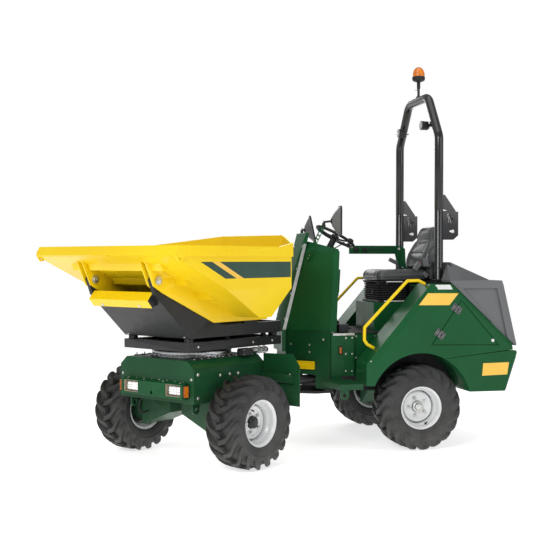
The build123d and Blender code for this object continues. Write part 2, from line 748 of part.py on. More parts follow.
with BuildPart() as seat_backrest:
    side_plate([(-1208, 1402), (-1216, 1474), (-1236, 1530), (-1276, 1606), (-1291, 1640), (-1300, 1694),
                (-1335, 1752), (-1395, 1752), (-1412, 1700), (-1400, 1600), (-1345, 1490), (-1332, 1400),
                (-1330, bellows_z[1] + seat_gap), (-1269.3, bellows_z[1] + seat_gap), (-1269.3, 1402)],
               (-222, 222))
    for side in sides:
        cross_plate([(side * 222, 1290), (side * 222, 1560), (side * 165, 1640), (side * 130, 1770),
                     (side * 300, 1770), (side * 300, 1290)], (-1500, -1100), mode=Mode.SUBTRACT)
pieces["seat_backrest"] = (seat_backrest, "rear")

# ---------------------------------------------------------------- guard bar beside the seat
guard_y = (-400.0, -386.0)
with BuildPart() as guard_bar:
    block((-1225, -779), guard_y, (1524, 1596))
    side_plate([(-1195, 1524), (-1225, 1596), (-1288, 1570), (-1302, foot_plate_z[1]),
                (-1256, foot_plate_z[1])],
               (guard_y[1], guard_y[1] + 12))
    for knob_x in (-837, -917):
        rod_between((knob_x, guard_y[0] - 14, 1560), (knob_x, guard_y[1] + 18, 1560), 20)
pieces["guard_bar"] = (guard_bar, "rear")

# ---------------------------------------------------------------- roll bar
lug_gap = bracket_tongue / 2 + 6
with BuildPart() as rops_lower:
    for side in sides:
        rod_between((rops_x, side * rops_y, rops_foot_z), (rops_x, side * rops_y, rops_seam_z), rops_tube)
        block((rops_x - 40, rops_x + 46), sorted((side * (rops_y - 50), side * (rops_y + 50))),
              (rops_foot_z - 1, rops_foot_z + 12))
        for face in (-1, 1):
            inner = side * rops_y + face * lug_gap
            outer = side * rops_y + face * (lug_gap + bracket_plate)
            side_plate([(rops_x - 22, 1633), (-1379, 1633), (-1421, 1668), (-1421, 1858),
                        (rops_x - 22, 1858)],
                       sorted((inner, outer)))
        rod_between((rops_pivot[0], side * (rops_y - lug_gap - bracket_plate - 4), rops_pivot[1]),
                    (rops_pivot[0], side * (rops_y + lug_gap + bracket_plate + 4), rops_pivot[1]), 12)
pieces["rops_lower"] = (rops_lower, "rear")

lamp_z = 2565.0
with BuildPart() as rops_upper:
    bent_bar([(rops_x, -rops_y, rops_seam_z + running_gap + 1), (rops_x, -rops_y, rops_bend_z),
              (rops_x, -rops_top_half, rops_top_z), (rops_x, rops_top_half, rops_top_z),
              (rops_x, rops_y, rops_bend_z), (rops_x, rops_y, rops_seam_z + running_gap + 1)], 110, rops_tube)
    for side in sides:
        side_plate([(rops_x - 25, 1992), (rops_x - 50, 1992), (-1404, 1866), (-1404, rops_pivot[1] - 24),
                    (rops_pivot[0] + 20, rops_pivot[1] - 24), (rops_pivot[0] + 40, 1866),
                    (rops_x - 25, 1878)],
                   sorted((side * rops_y - bracket_tongue / 2, side * rops_y + bracket_tongue / 2)))
        rod_between((rops_pivot[0], side * rops_y - 20, rops_pivot[1]),
                    (rops_pivot[0], side * rops_y + 20, rops_pivot[1]), 12 + pin_gap, mode=Mode.SUBTRACT)
        side_plate([(rops_x - 30, lamp_z - 22), (rops_x + 44, lamp_z - 22), (rops_x + 44, lamp_z + 22),
                    (rops_x - 30, lamp_z + 22)], sorted((side * 352, side * 362)))
        block((rops_x - 30, rops_x + 44), sorted((side * 300, side * 362)), (lamp_z - 4, lamp_z + 4))
pieces["rops_upper"] = (rops_upper, "rear")

with BuildPart() as rops_lamps:
    for side in sides:
        with BuildSketch(Plane.YZ.offset(rops_x + 20)):
            with Locations((side * 262, lamp_z)):
                RectangleRounded(74, 74, 14)
        extrude(amount=44)
        block((rops_x + 10, rops_x + 40), sorted((side * 270, side * 300)), (lamp_z - 10, lamp_z + 10))
    rod_between((rops_x, 0, rops_top_z + rops_tube), (rops_x, 0, 2975), 11)
    rod_between((rops_x, 0, 2965), (rops_x, 0, 2990), 54)
    rod_between((rops_x, 0, 2990), (rops_x, 0, 3072), 45)
    with Locations((rops_x, 0, 3072)):
        Cone(45, 30, 20, align=(Align.CENTER, Align.CENTER, Align.MIN))
pieces["rops_lamps"] = (rops_lamps, "rear")

# ---------------------------------------------------------------- battery and hood
with BuildPart() as battery_block:
    block((-1650, pillar_x[0] - 12), (-390, 390), (rail_z[1], 900))
pieces["battery_block"] = (battery_block, "rear")


hood_shoulder = 1311.0
# front foot, front top and rear end of the hump's side
hood_hump = ((-1240.0, 712.0, hood_shoulder), (-1310.0, 480.0, 1470.0), (-1672.0, 480.0, hood_shoulder))


def hood_solid(wall):
    """Rear hood, drawn in by the wall."""
    side_plate([(-1250 - wall, 1316 - wall), (-1310 - wall, 1468 - wall), (-1680 + wall, 1314 - wall),
                (-1694 + wall, 1276), (-1806 + wall, 806), (-1740, 760), (-1250 - wall, 1200)],
               (-715 + wall, 715 - wall))
    # shoulders at the rear edge's height, beside a hump that runs out at the rear
    for side in sides:
        front_low, front_top, rear_end = (Vector(x, side * (y - wall * 0.5), z) for x, y, z in hood_hump)
        outward = (front_top - front_low).cross(rear_end - front_low) * -side
        hump_side = Plane(origin=front_low - outward.normalized() * wall * 0.5, z_dir=outward)
        with BuildPart(mode=Mode.PRIVATE) as shoulder:
            block((-2000, -1200), (-900, 900), (hood_shoulder - wall, 1700))
            with BuildSketch(hump_side) as kept:
                Rectangle(3000, 3000)
            extrude(kept.sketch, amount=-3000, mode=Mode.SUBTRACT)
        add(shoulder.part, mode=Mode.SUBTRACT)
    rise = panel_gap / 2
    side_plate([(hood_line_top[0] + 200, hood_line_top[1] + 184 + rise),
                (hood_line_low[0] - 60, hood_line_low[1] - 55 + rise), (-1850, 600), (-1000, 600)],
               (-900, 900), mode=Mode.SUBTRACT)


with BuildPart() as hood_void:
    hood_solid(22.0)
    block((hood_front - 22, -1200), (-550, 550), (1150, 1600), mode=Mode.SUBTRACT)

with BuildPart() as hood:
    hood_solid(0)
    block((hood_front, -1200), (-528, 528), (1150, 1600), mode=Mode.SUBTRACT)
    add(hood_void.part, mode=Mode.SUBTRACT)
    side_plate([(-1740, 700), (-1262, 1140 + 22), (-1262, 700)], (-693, 693), mode=Mode.SUBTRACT)
    for side in sides:
        side_plate([(-1352, 1250), (-1640, 1250), (-1736, 828)], sorted((side * 700, side * 720)),
                   mode=Mode.SUBTRACT)
    for side in sides:
        recess_y = sorted((side * (hood_knuckle_y[0] - 18), side * (hood_knuckle_y[1] + 18)))
        block((-1830, -1770), recess_y, (780, 835), mode=Mode.SUBTRACT)
        side_plate([(-1812, 795), (-1812, 845), (-1776, 845), (-1778, 825), (-1800, 795)],
                   sorted((side * hood_knuckle_y[0], side * hood_knuckle_y[1])))
        rod_between((hood_hinge[0], side * hood_knuckle_y[0], hood_hinge[1]),
                    (hood_hinge[0], side * hood_knuckle_y[1], hood_hinge[1]), hood_knuckle_radius)
        rod_between((hood_hinge[0], side * (hood_knuckle_y[0] - 1), hood_hinge[1]),
                    (hood_hinge[0], side * (hood_knuckle_y[1] + 1), hood_hinge[1]), hood_pin_radius + pin_gap,
                    mode=Mode.SUBTRACT)
pieces["hood"] = (hood, "rear")

# ---------------------------------------------------------------- small pieces of the rear half
with BuildPart() as marker_lamps:
    for side in sides:
        block((-455, -430), sorted((side * platform_half_width, side * (platform_half_width + 16))),
              (735, 795))
pieces["marker_lamps"] = (marker_lamps, "rear")

with BuildPart() as pedals:
    for pedal_y in (-170, 170):
        side_plate([(-500, floor_z), (-560, floor_z), (-540, floor_z + 12), (-470, floor_z + 120),
                    (-455, floor_z + 112)],
                   (pedal_y - 45, pedal_y + 45))
pieces["pedals"] = (pedals, "rear")

with BuildPart() as articulation_lock:
    plan_plate([oblique(0.08, -4, 1), oblique(0.68, -4, 1), oblique(0.68, -22, 1), oblique(0.08, -22, 1)],
               (609, 671))
    plan_plate([oblique(0.06, -10, 1), oblique(0.66, -10, 1), oblique(0.66, -24, 1), oblique(0.06, -24, 1)],
               (616, 664), mode=Mode.SUBTRACT)
    for share in (0.2, 0.6):
        rod_between((*oblique(share, 0, 1), 640), (*oblique(share, -16, 1), 640), 9)
pieces["articulation_lock"] = (articulation_lock, "rear")


# ---------------------------------------------------------------- hydraulic cylinders
class Ram:
    """A cylinder between a fixed anchor and an eye: barrel, rod and their lengths."""

    def __init__(self, anchor, eye, shortest, barrel_radius, rod_radius, eye_radius, pin_radius, eye_width):
        self.anchor = Vector(*anchor)
        self.eye = Vector(*eye)
        self.axis = (self.eye - self.anchor).normalized()
        self.rest = (self.eye - self.anchor).length
        self.barrel_length = shortest - 62
        self.barrel_radius = barrel_radius
        self.rod_radius = rod_radius
        self.eye_radius = eye_radius
        self.pin_radius = pin_radius
        self.eye_width = eye_width
        self.bore = barrel_radius - 8

    def at(self, distance):
        """A point on the axis, measured from the anchor."""
        return tuple(self.anchor + self.axis * distance)

    def eye_ring(self, centre, pin_axis, bore):
        """The eye: a short ring across the cylinder."""
        half = pin_axis * (self.eye_width / 2)
        start = tuple(centre - half)
        end = tuple(centre + half)
        rod_between(start, end, self.eye_radius)
        rod_between(start, end, bore, mode=Mode.SUBTRACT)

    def draw_barrel(self, pin_axis):
        """Barrel with its base eye."""
        rod_between(self.at(58), self.at(self.barrel_length), self.barrel_radius)
        rod_between(self.at(self.eye_radius - 6), self.at(58), self.eye_width / 2 - 1)
        rod_between(self.at(70), self.at(self.barrel_length - 24), self.bore, mode=Mode.SUBTRACT)
        rod_between(self.at(70), self.at(self.barrel_length + 1), self.rod_radius + pin_gap,
                    mode=Mode.SUBTRACT)
        self.eye_ring(self.anchor, pin_axis, self.pin_radius + pin_gap)

    def draw_rod(self, pin_axis):
        """Piston, rod and rod eye."""
        slack = self.rest - self.barrel_length - 62
        rod_between(self.at(72 + slack), self.at(88 + slack), self.bore - pin_gap)
        rod_between(self.at(76 + slack), self.at(self.rest - self.eye_radius + 6), self.rod_radius)
        self.eye_ring(self.eye, pin_axis, self.pin_radius + pin_gap)


def turned(point, angle):
    """A plan point turned about the articulation axis."""
    c = cos(radians(angle))
    s = sin(radians(angle))
    return (c * point[0] - s * point[1], s * point[0] + c * point[1])


steer_eye_rest = turned(steer_eye, articulation_rest)
steer_eye_limit = turned(steer_eye, steer_angle_limit)
steer_shortest = hypot(steer_eye_limit[0] - steer_anchor[0], steer_eye_limit[1] - steer_anchor[1])
steer_ram = Ram((*steer_anchor, steer_z), (*steer_eye_rest, steer_z), steer_shortest, 30, 15, 24, 14, 40)
with BuildPart() as steering_cylinder_barrel:
    steer_ram.draw_barrel(Vector(0, 0, 1))
pieces["steering_cylinder_barrel"] = (steering_cylinder_barrel, "rear")
with BuildPart() as steering_cylinder_rod:
    steer_ram.draw_rod(Vector(0, 0, 1))
pieces["steering_cylinder_rod"] = (steering_cylinder_rod, "rear")

# ================================================================= FRONT HALF
# ---------------------------------------------------------------- front chassis
tongue_z = (yoke_low[1] + tongue_gap, yoke_high[0] - tongue_gap)
lug_centre = (1208.0, 418.0)
lug_y = 317.0
lug_hole = 17.0


def hat(wall):
    """Cross profile of the front body, drawn in by the wall."""
    return [(side_y - wall, side_bottom - wall), (side_y - wall, shoulder_z - wall * 0.4),
            (deck_half_width - wall * 0.4, deck_z - wall), (-deck_half_width + wall * 0.4, deck_z - wall),
            (-side_y + wall, shoulder_z - wall * 0.4), (-side_y + wall, side_bottom - wall)]


with BuildPart() as front_chassis:
    cross_plate(hat(0), (front_tail_x, nose_x))
    cross_plate(hat(plate), (front_tail_x + plate, nose_x - 12), mode=Mode.SUBTRACT)
    block((front_axle_x - 170, front_axle_x + 170), (-side_y + 5, side_y - 5),
          (side_bottom, side_bottom + plate))
    block((1150, nose_x - 12), (-side_y + 5, side_y - 5), (side_bottom, side_bottom + plate))
    # tongue to the articulation pin
    plan_plate([(0, -pivot_boss_radius), (0, pivot_boss_radius), (250, 120), (front_tail_x, 225),
                (front_tail_x + 160, 225), (front_tail_x + 160, -225), (front_tail_x, -225), (250, -120)],
               tongue_z)
    with BuildSketch(Plane.XY.offset(tongue_z[0])):
        Circle(pivot_boss_radius)
    extrude(amount=tongue_z[1] - tongue_z[0])
    block((front_tail_x, front_tail_x + 180), (-side_y + 5, side_y - 5),
          (tongue_z[1] - 1, side_bottom + plate))
    for side in sides:
        side_plate([(170, tongue_z[1] - 2), (190, tongue_z[1] + 30), (330, shoulder_z - 30),
                    (front_tail_x + 2, shoulder_z - 10), (front_tail_x + 2, tongue_z[1] - 2)],
                   sorted((side * 92, side * 106)))
        # tie-down lugs under the nose
        with BuildSketch(Plane.XZ.offset(-side * lug_y)):
            with Locations(lug_centre):
                Circle(33)
            with Locations((lug_centre[0], lug_centre[1] + 28)):
                Rectangle(66, 56)
        extrude(amount=7.5, both=True)
        with BuildSketch(Plane.XZ.offset(-side * lug_y)):
            with Locations(lug_centre):
                Circle(lug_hole)
        extrude(amount=12, both=True, mode=Mode.SUBTRACT)
        block((1066, nose_x - 12), sorted((side * side_y, side * (side_y + 3))),
              (side_bottom, shoulder_z - 8))
    with BuildSketch(Plane.XY.offset(tongue_z[0] - 1)):
        Circle(pivot_pin_radius + pin_gap)
    extrude(amount=tongue_z[1] - tongue_z[0] + 2, mode=Mode.SUBTRACT)
    # lugs for the steering rod's eye, open between them, with the pin's heads outside
    for low in (steer_z - 34, steer_z + 23):
        plan_plate([(steer_eye[0] - 25, 100), (steer_eye[0] - 25, 226), (steer_eye[0] + 25, 226),
                    (steer_eye[0] + 60, 100)], (low, low + 11))
    for low in (steer_z - 38, steer_z + 34):
        rod_between((*steer_eye, low), (*steer_eye, low + 4), 14)
pieces["front_chassis"] = (front_chassis, "front")

# ---------------------------------------------------------------- light bar and lamps
bar_x = (nose_x, 1337.0)
bar_half = 316.0
bar_z = (495.0, 618.0)
headlight_y = 217.0
headlight_size = (152.0, 86.0)
with BuildPart() as light_bar:
    side_plate([(bar_x[0], bar_z[0]), (bar_x[1], bar_z[0] + 6), (bar_x[1], bar_z[1] - 14),
                (bar_x[0], bar_z[1])],
               (-bar_half, bar_half))
    block((bar_x[0] - 1, bar_x[1] - sheet), (-bar_half + sheet, bar_half - sheet),
          (bar_z[0] + 11, bar_z[1] - 17), mode=Mode.SUBTRACT)
    with BuildSketch(Plane.YZ.offset(bar_x[1] - 10)):
        for side in sides:
            with Locations((side * headlight_y, 557)):
                Rectangle(*headlight_size)
        with Locations((0, 528)):
            Circle(11)
    extrude(amount=20, mode=Mode.SUBTRACT)
pieces["light_bar"] = (light_bar, "front")

with BuildPart() as front_lamps:
    for side in sides:
        block((bar_x[0] + 4, bar_x[1] - 0.2), sorted((side * (headlight_y - 75.8),
                                                      side * (headlight_y + 75.8))),
              (514.2, 599.8))
        block((bar_x[0] + 2, bar_x[1] - 4), sorted((side * bar_half, side * (bar_half + 26))), (512, 600))
pieces["front_lamps"] = (front_lamps, "front")

# ---------------------------------------------------------------- mudguards and front wheel carriers
with BuildPart() as mudguards:
    for side in sides:
        cross_plate([(side * (side_y + 0.5), 404), (side * 726, 404), (side * 726, 697), (side * 660, 783),
                     (side * (side_y + 0.5), 776)], (544, 552))
        block((552, 577), sorted((side * (side_y + 1), side * 675)), (572, 634))
pieces["mudguards"] = (mudguards, "front")

with BuildPart() as front_wheel_carriers:
    wheel_carriers(front_axle_x, side_bottom, 60.0, 350.0)
pieces["front_wheel_carriers"] = (front_wheel_carriers, "front")

# ---------------------------------------------------------------- slew ring and drive
with BuildPart() as slew_ring:
    with BuildSketch(Plane.XY.offset(deck_z)):
        with Locations((slew_x, 0)):
            Circle(ring_outer)
            Circle(ring_joint, mode=Mode.SUBTRACT)
    extrude(amount=48)
    with BuildSketch(Plane.XY.offset(deck_z + 48)):
        with Locations((slew_x, 0)):
            with PolarLocations(ring_outer - 17, 24):
                RegularPolygon(9, 6)
    extrude(amount=7)
pieces["slew_ring"] = (slew_ring, "front")

with BuildPart() as slew_drive:
    rod_between((455, 328, deck_z + 30), (690, 328, deck_z + 30), 27)
    block((640, 760), (300, 313), (deck_z, deck_z + 55))
    block((640, 760), (313, 362), (deck_z + 3, deck_z + 55))
pieces["slew_drive"] = (slew_drive, "front")

# ---------------------------------------------------------------- turntable
with BuildPart() as turntable_frame:
    block(turntable_x, (-turntable_half_width, turntable_half_width), turntable_z)
    block((turntable_x[0] + 50, turntable_x[1] - 50), (-turntable_half_width + 50, turntable_half_width - 50),
          (turntable_z[0] + 12, turntable_z[1] + 1), mode=Mode.SUBTRACT)
    with BuildSketch(Plane.XY.offset(deck_z + 10)):
        with Locations((slew_x, 0)):
            Circle(ring_joint - seat_gap)
            Circle(ring_inner, mode=Mode.SUBTRACT)
    extrude(amount=turntable_z[0] - deck_z - 9)
    with BuildSketch(Plane.XY.offset(turntable_z[0] - 1)):
        with Locations((slew_x, 0)):
            Circle(ring_inner)
    extrude(amount=30, mode=Mode.SUBTRACT)
    block((420, 600), (-150, 150), (turntable_z[0] - 1, turntable_z[0] + 20), mode=Mode.SUBTRACT)
    for pad_x in (turntable_x[0] + 45, turntable_x[1] - 45):
        for side in sides:
            rod_between((pad_x, side * 290, turntable_z[1] - 1), (pad_x, side * 290, cradle_z[0]), 34)
pieces["turntable_frame"] = (turntable_frame, "front")

# ---------------------------------------------------------------- skip cradle
arm_profile = [(cradle_x[0], cradle_z[0]), (cradle_x[1], cradle_z[0]), (1609, 1228), (1632, 1290),
               (1650, 1334), (1632, 1372), (1585, 1376), (1550, 1352), (1010, 1100), (972, cradle_z[1]),
               (cradle_x[0], cradle_z[1])]
with BuildPart() as skip_cradle:
    for side in sides:
        side_plate(arm_profile, sorted((side * (arm_y - 15), side * (arm_y + 15))))
        rod_between((tip_pin[0], side * (arm_y - 18), tip_pin[1]),
                    (tip_pin[0], side * (arm_y + 18), tip_pin[1]), 44)
        rod_between((tip_pin[0], side * (arm_y - 30), tip_pin[1]),
                    (tip_pin[0], side * (arm_y + 30), tip_pin[1]), tip_pin_radius + pin_gap,
                    mode=Mode.SUBTRACT)
        # lugs and pin for the barrel's eye
        side_plate([(1200, cradle_z[0]), (1285, cradle_z[0] + 2), (1320, 965), (1275, 1008), (1225, 1008)],
                   sorted((side * 23, side * 35)))
        # bracket for the guard plate
        side_plate([(1545, 1168), (1603.6, 1149), (1644.2, 1197), (1611, 1234.5), (1600, 1225)],
                   sorted((side * 288, side * 296)))
        block((580, 720), sorted((side * (arm_y - 15), side * (arm_y + 15))),
              (cradle_z[1], rib_bottom - seat_gap))
    side_plate([(cradle_x[1] - 12, cradle_z[0]), (cradle_x[1], cradle_z[0]), (1609, 1228), (1597, 1228)],
               (-arm_y, arm_y))
    block((cradle_x[0], cradle_x[1] - 6), (-arm_y, arm_y), (cradle_z[0], cradle_z[0] + 8))
    block((cradle_x[0], cradle_x[0] + 8), (-arm_y, arm_y), cradle_z)
    block((780, 1020), (-110, 110), (cradle_z[0] - 1, cradle_z[0] + 9), mode=Mode.SUBTRACT)
    rod_between((tip_anchor[0], -40, tip_anchor[1]), (tip_anchor[0], 40, tip_anchor[1]), 15)
pieces["skip_cradle"] = (skip_cradle, "front")

with BuildPart() as guard_plate:
    side_plate([(1600, 1254), (1650, 1197), (1607, 1146), (1604, 1148.6), (1644.7, 1197), (1597, 1251.4)],
               (-302, 302))
pieces["guard_plate"] = (guard_plate, "front")

tip_shortest = hypot(tip_eye[0] - tip_anchor[0], tip_eye[1] - tip_anchor[1])
tip_ram = Ram((tip_anchor[0], 0, tip_anchor[1]), (tip_eye[0], 0, tip_eye[1]), tip_shortest, 33, 19, 24, 15,
              42)
with BuildPart() as tip_cylinder_barrel:
    tip_ram.draw_barrel(Vector(0, 1, 0))
pieces["tip_cylinder_barrel"] = (tip_cylinder_barrel, "front")
with BuildPart() as tip_cylinder_rod:
    tip_ram.draw_rod(Vector(0, 1, 0))
pieces["tip_cylinder_rod"] = (tip_cylinder_rod, "front")

# ---------------------------------------------------------------- skip
floor_slope = (skip_lip[1] - skip_floor_rear[1]) / (skip_lip[0] - skip_floor_rear[0])


def floor_height(x, lift=0.0):
    """Height of the sloping floor's underside, or above it by the lift measured squarely."""
    return skip_floor_rear[1] + (x - skip_floor_rear[0]) * floor_slope + lift * sqrt(1 + floor_slope ** 2)


def skip_plan(wall):
    """Upper plan of the skip."""
    return both_sides([(1900, skip_half_width - wall), (skip_corner_x + wall * 0.4, skip_half_width - wall),
                       (skip_rear_x + wall, skip_rear_half - wall * 0.4)])


def skip_low_plan(wall):
    """Plan at the skip's bottom, where the lower panels have run in."""
    return both_sides([(1900, 590 - wall), (705 + wall * 0.4, 590 - wall), (430 + wall, 285 - wall * 0.4)])


def skip_solid(wall):
    """The skip's hopper, drawn in by the wall; open at the top where the wall isn't zero."""
    top = skip_rear_top_z + 40
    ruled_loft(skip_low_plan(wall), skip_bottom, skip_plan(wall), skip_fold_z)
    plan_plate(skip_plan(wall), (skip_fold_z, top))
    lift = wall
    side_plate([(0, 900), (1950, 900), (1950, floor_height(1950, lift)),
                (skip_floor_rear[0] - 40, floor_height(skip_floor_rear[0] - 40, lift)),
                (skip_floor_rear[0] - 40, skip_bottom + wall), (0, skip_bottom + wall)],
               (-800, 800), mode=Mode.SUBTRACT)
    side_plate([(skip_lip[0] - wall * 1.2, skip_lip[1] - 30), (skip_lip[0] - wall * 1.2, skip_lip[1]),
                (skip_lip_top[0] - wall * 1.2, skip_lip_top[1]), (skip_lip_top[0] - wall * 1.2, 1900),
                (2000, 1900), (2000, skip_lip[1] - 30)], (-800, 800), mode=Mode.SUBTRACT)


rim_profile = [(skip_lip_top[0] + 60, skip_top_z), (759, skip_top_z), (skip_corner_x, 1593),
               (239, skip_rear_top_z), (100, skip_rear_top_z), (100, 1900), (skip_lip_top[0] + 60, 1900)]

with BuildPart() as skip_void:
    skip_solid(skip_wall)

with BuildPart() as skip:
    skip_solid(0)
    # rim band round the sides and the rear
    plan_plate(both_sides([(skip_lip[0] - 12, skip_half_width + rim_band),
                           (skip_corner_x - 5, skip_half_width + rim_band),
                           (skip_rear_x - rim_band, skip_rear_half + 5)]), (skip_rim_z, skip_rear_top_z + 40))
    side_plate(rim_profile, (-800, 800), mode=Mode.SUBTRACT)
    side_plate([(skip_lip[0] + 4, skip_lip[1] - 100), (skip_lip[0], skip_lip[1]),
                (skip_lip_top[0], skip_lip_top[1]), (skip_lip_top[0], 1900), (2000, 1900),
                (2000, skip_lip[1] - 100)], (-800, 800), mode=Mode.SUBTRACT)
    add(skip_void.part, mode=Mode.SUBTRACT)
    for side in sides:
        # corner tabs, each with an eye
        side_plate([(tab_eye[0] - 52, skip_rim_z + 2), (tab_eye[0] + 38, skip_rim_z + 2),
                    (tab_eye[0] + 14, tab_eye[1] - 16), (tab_eye[0] - 14, tab_eye[1] - 16)],
                   sorted((side * (skip_half_width + 2), side * (skip_half_width + rim_band))))
        rod_between((tab_eye[0], side * (skip_half_width + 1), tab_eye[1]),
                    (tab_eye[0], side * (skip_half_width + rim_band + 1), tab_eye[1]), tab_eye_radius,
                    mode=Mode.SUBTRACT)
        # ribs on each side of the cradle's arm, joined by the tipping pin
        for face in (-1, 1):
            inner = side * arm_y + face * (arm_thickness / 2 + rib_clear)
            outer = inner + face * rib_thickness
            side_plate([(1718, floor_height(1718)), (1640, 1296), (1562, 1250), (1060, rib_bottom),
                        (480, rib_bottom), (480, skip_bottom + 1), (skip_floor_rear[0], skip_bottom + 1),
                        (1718, floor_height(1718) + 1)], sorted((inner, outer)))
        rod_between((tip_pin[0], side * (arm_y - 36), tip_pin[1]),
                    (tip_pin[0], side * (arm_y + 36), tip_pin[1]), tip_pin_radius)
        # ears for the rod's eye
        side_plate([(440, skip_bottom + 1), (470, 996), (530, 996), (560, skip_bottom + 1)],
                   sorted((side * 24, side * 34)))
        rod_between((tip_eye[0], side * 30, tip_eye[1]), (tip_eye[0], side * 42, tip_eye[1]), 15)
    # cross stiffeners under the sloping floor
    for stiffener_x in (1650, 1430, 1210):
        side_plate([(stiffener_x - 34, floor_height(stiffener_x - 34) + 1),
                    (stiffener_x - 22, floor_height(stiffener_x) - 34),
                    (stiffener_x + 8, floor_height(stiffener_x) - 34),
                    (stiffener_x + 26, floor_height(stiffener_x + 26) + 1)], (-281, 281))
        for side in sides:
            side_plate([(stiffener_x - 34, floor_height(stiffener_x - 34) + 1),
                        (stiffener_x - 22, floor_height(stiffener_x) - 34),
                        (stiffener_x + 8, floor_height(stiffener_x) - 34),
                        (stiffener_x + 26, floor_height(stiffener_x + 26) + 1)],
                       sorted((side * 350, side * 460)))
pieces["skip"] = (skip, "front")

# ================================================================= WHEELS
half_rim = rim_width / 2
half_tyre = tyre_width / 2
bead = (rim_radius + seat_gap, half_rim - 8.5)
bulge_radius = rim_flange_radius + 6 + 0.4 * (tyre_radius - rim_flange_radius - 6)
tyre_profile = [bead, (rim_flange_radius + 1, half_rim - 4.5), (rim_flange_radius + 6, half_rim + 6),
                (bulge_radius, half_tyre), (tyre_radius - 38, half_tyre - 4),
                (tyre_radius - 8, half_tyre - 25), (tyre_radius, half_tyre - 47)]
wheel_table = (("front_left", front_axle_x, 1, "front"), ("front_right", front_axle_x, -1, "front"),
               ("rear_left", rear_axle_x, 1, "rear"), ("rear_right", rear_axle_x, -1, "rear"))


def tyre_outline(wall):
    """Half section of the tyre (radius, offset), drawn in by the wall."""
    bead_part = [(bead[0] - (1 if wall else 0), bead[1] - wall)]
    bead_part += [(radius, offset - wall) for radius, offset in tyre_profile[1:3]]
    side_part = [(radius - wall, offset - wall) for radius, offset in tyre_profile[3:5]]
    tread_part = [(radius - wall, offset - wall * 0.4) for radius, offset in tyre_profile[5:]]
    outer = bead_part + side_part + tread_part
    return outer + [(radius, -offset) for radius, offset in reversed(outer)]


for wheel_name, axle_x, side, half in wheel_table:
    centre = Plane(origin=(axle_x, side * half_track, tyre_radius), x_dir=(0, 0, 1), z_dir=(1, 0, 0))
    spin = Axis((axle_x, side * half_track, tyre_radius), (0, 1, 0))
    with BuildPart() as tyre:
        with BuildSketch(centre):
            with BuildLine():
                Polyline(*tyre_outline(0), close=True)
            make_face()
            with BuildLine():
                Polyline(*tyre_outline(14), close=True)
            make_face(mode=Mode.SUBTRACT)
        revolve(axis=spin)
    pieces["tyre_" + wheel_name] = (tyre, half)
    with BuildPart() as rim:
        flange = rim_flange_radius
        well = rim_radius - 18
        outline = [(flange, half_rim + 2), (flange, half_rim - 4), (rim_radius, half_rim - 8),
                   (rim_radius, 70), (well, 50), (well, -50), (rim_radius, -70), (rim_radius, -half_rim + 8),
                   (flange, -half_rim + 4), (flange, -half_rim - 2), (rim_radius - 6, -half_rim + 4),
                   (rim_radius - 6, -68), (well - 7, -48), (well - 7, 48), (rim_radius - 6, 68),
                   (rim_radius - 6, half_rim - 4)]
        with BuildSketch(centre):
            with BuildLine():
                Polyline(*outline, close=True)
            make_face()
        revolve(axis=spin)
        outward = Plane(origin=(axle_x, side * (half_track + disc_offset - disc_thickness), tyre_radius),
                        z_dir=(0, side, 0))
        with BuildSketch(outward):
            Circle(well - 4)
            Circle(spindle_radius + pin_gap, mode=Mode.SUBTRACT)
        extrude(amount=disc_thickness)
        with BuildSketch(outward.offset(disc_thickness)):
            Circle(44)
            Circle(spindle_radius + pin_gap, mode=Mode.SUBTRACT)
        extrude(amount=36)
        with BuildSketch(outward.offset(disc_thickness + 35)):
            Circle(44)
        extrude(amount=6)
        with BuildSketch(outward.offset(disc_thickness)):
            with PolarLocations(70, 5):
                RegularPolygon(13, 6)
        extrude(amount=16)
    pieces["rim_" + wheel_name] = (rim, half)

# ================================================================= placing and writing
steered = Location((0, 0, 0), (0, 0, articulation_rest))
placed = {}
for name, (builder, half) in pieces.items():
    placed[name] = builder.part.moved(steered) if half == "front" else builder.part
boxes = [piece.bounding_box() for piece in placed.values()]
centre_x = (min(box.min.X for box in boxes) + max(box.max.X for box in boxes)) / 2
centre_y = (min(box.min.Y for box in boxes) + max(box.max.Y for box in boxes)) / 2
origin_shift = Location((-centre_x, -centre_y, -min(box.min.Z for box in boxes)))
for name, solid in placed.items():
    piece = solid.moved(origin_shift)
    piece.label = name
    export_step(piece, "parts/" + name + ".step")
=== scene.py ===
"""Looks of the articulated site dumper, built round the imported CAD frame.

Metres. Most pieces are drawn in the straight machine's coordinates, with the articulation
axis as origin on the floor, nose to +X, and are then put on the rear or the front half.
"""
import json
from math import atan2, cos, pi, radians, sin, sqrt

import bmesh
import bpy
from mathutils import Matrix, Vector


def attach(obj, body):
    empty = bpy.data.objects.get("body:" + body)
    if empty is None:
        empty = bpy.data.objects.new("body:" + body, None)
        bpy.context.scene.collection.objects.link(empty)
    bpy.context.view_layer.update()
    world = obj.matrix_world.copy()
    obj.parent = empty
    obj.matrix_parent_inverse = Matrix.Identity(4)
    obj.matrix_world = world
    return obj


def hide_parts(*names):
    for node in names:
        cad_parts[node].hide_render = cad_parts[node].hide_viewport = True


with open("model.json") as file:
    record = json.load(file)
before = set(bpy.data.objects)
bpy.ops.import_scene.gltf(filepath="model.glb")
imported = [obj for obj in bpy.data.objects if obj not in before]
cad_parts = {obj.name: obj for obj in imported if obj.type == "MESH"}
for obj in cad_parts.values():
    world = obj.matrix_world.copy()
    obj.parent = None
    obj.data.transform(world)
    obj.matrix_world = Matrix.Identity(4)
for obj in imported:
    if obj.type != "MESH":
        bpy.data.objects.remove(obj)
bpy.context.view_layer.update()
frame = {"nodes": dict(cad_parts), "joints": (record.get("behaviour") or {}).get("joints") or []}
joints = {joint["name"]: joint for joint in frame["joints"]}
pivot = Vector(joints["articulation"]["pos_m"])
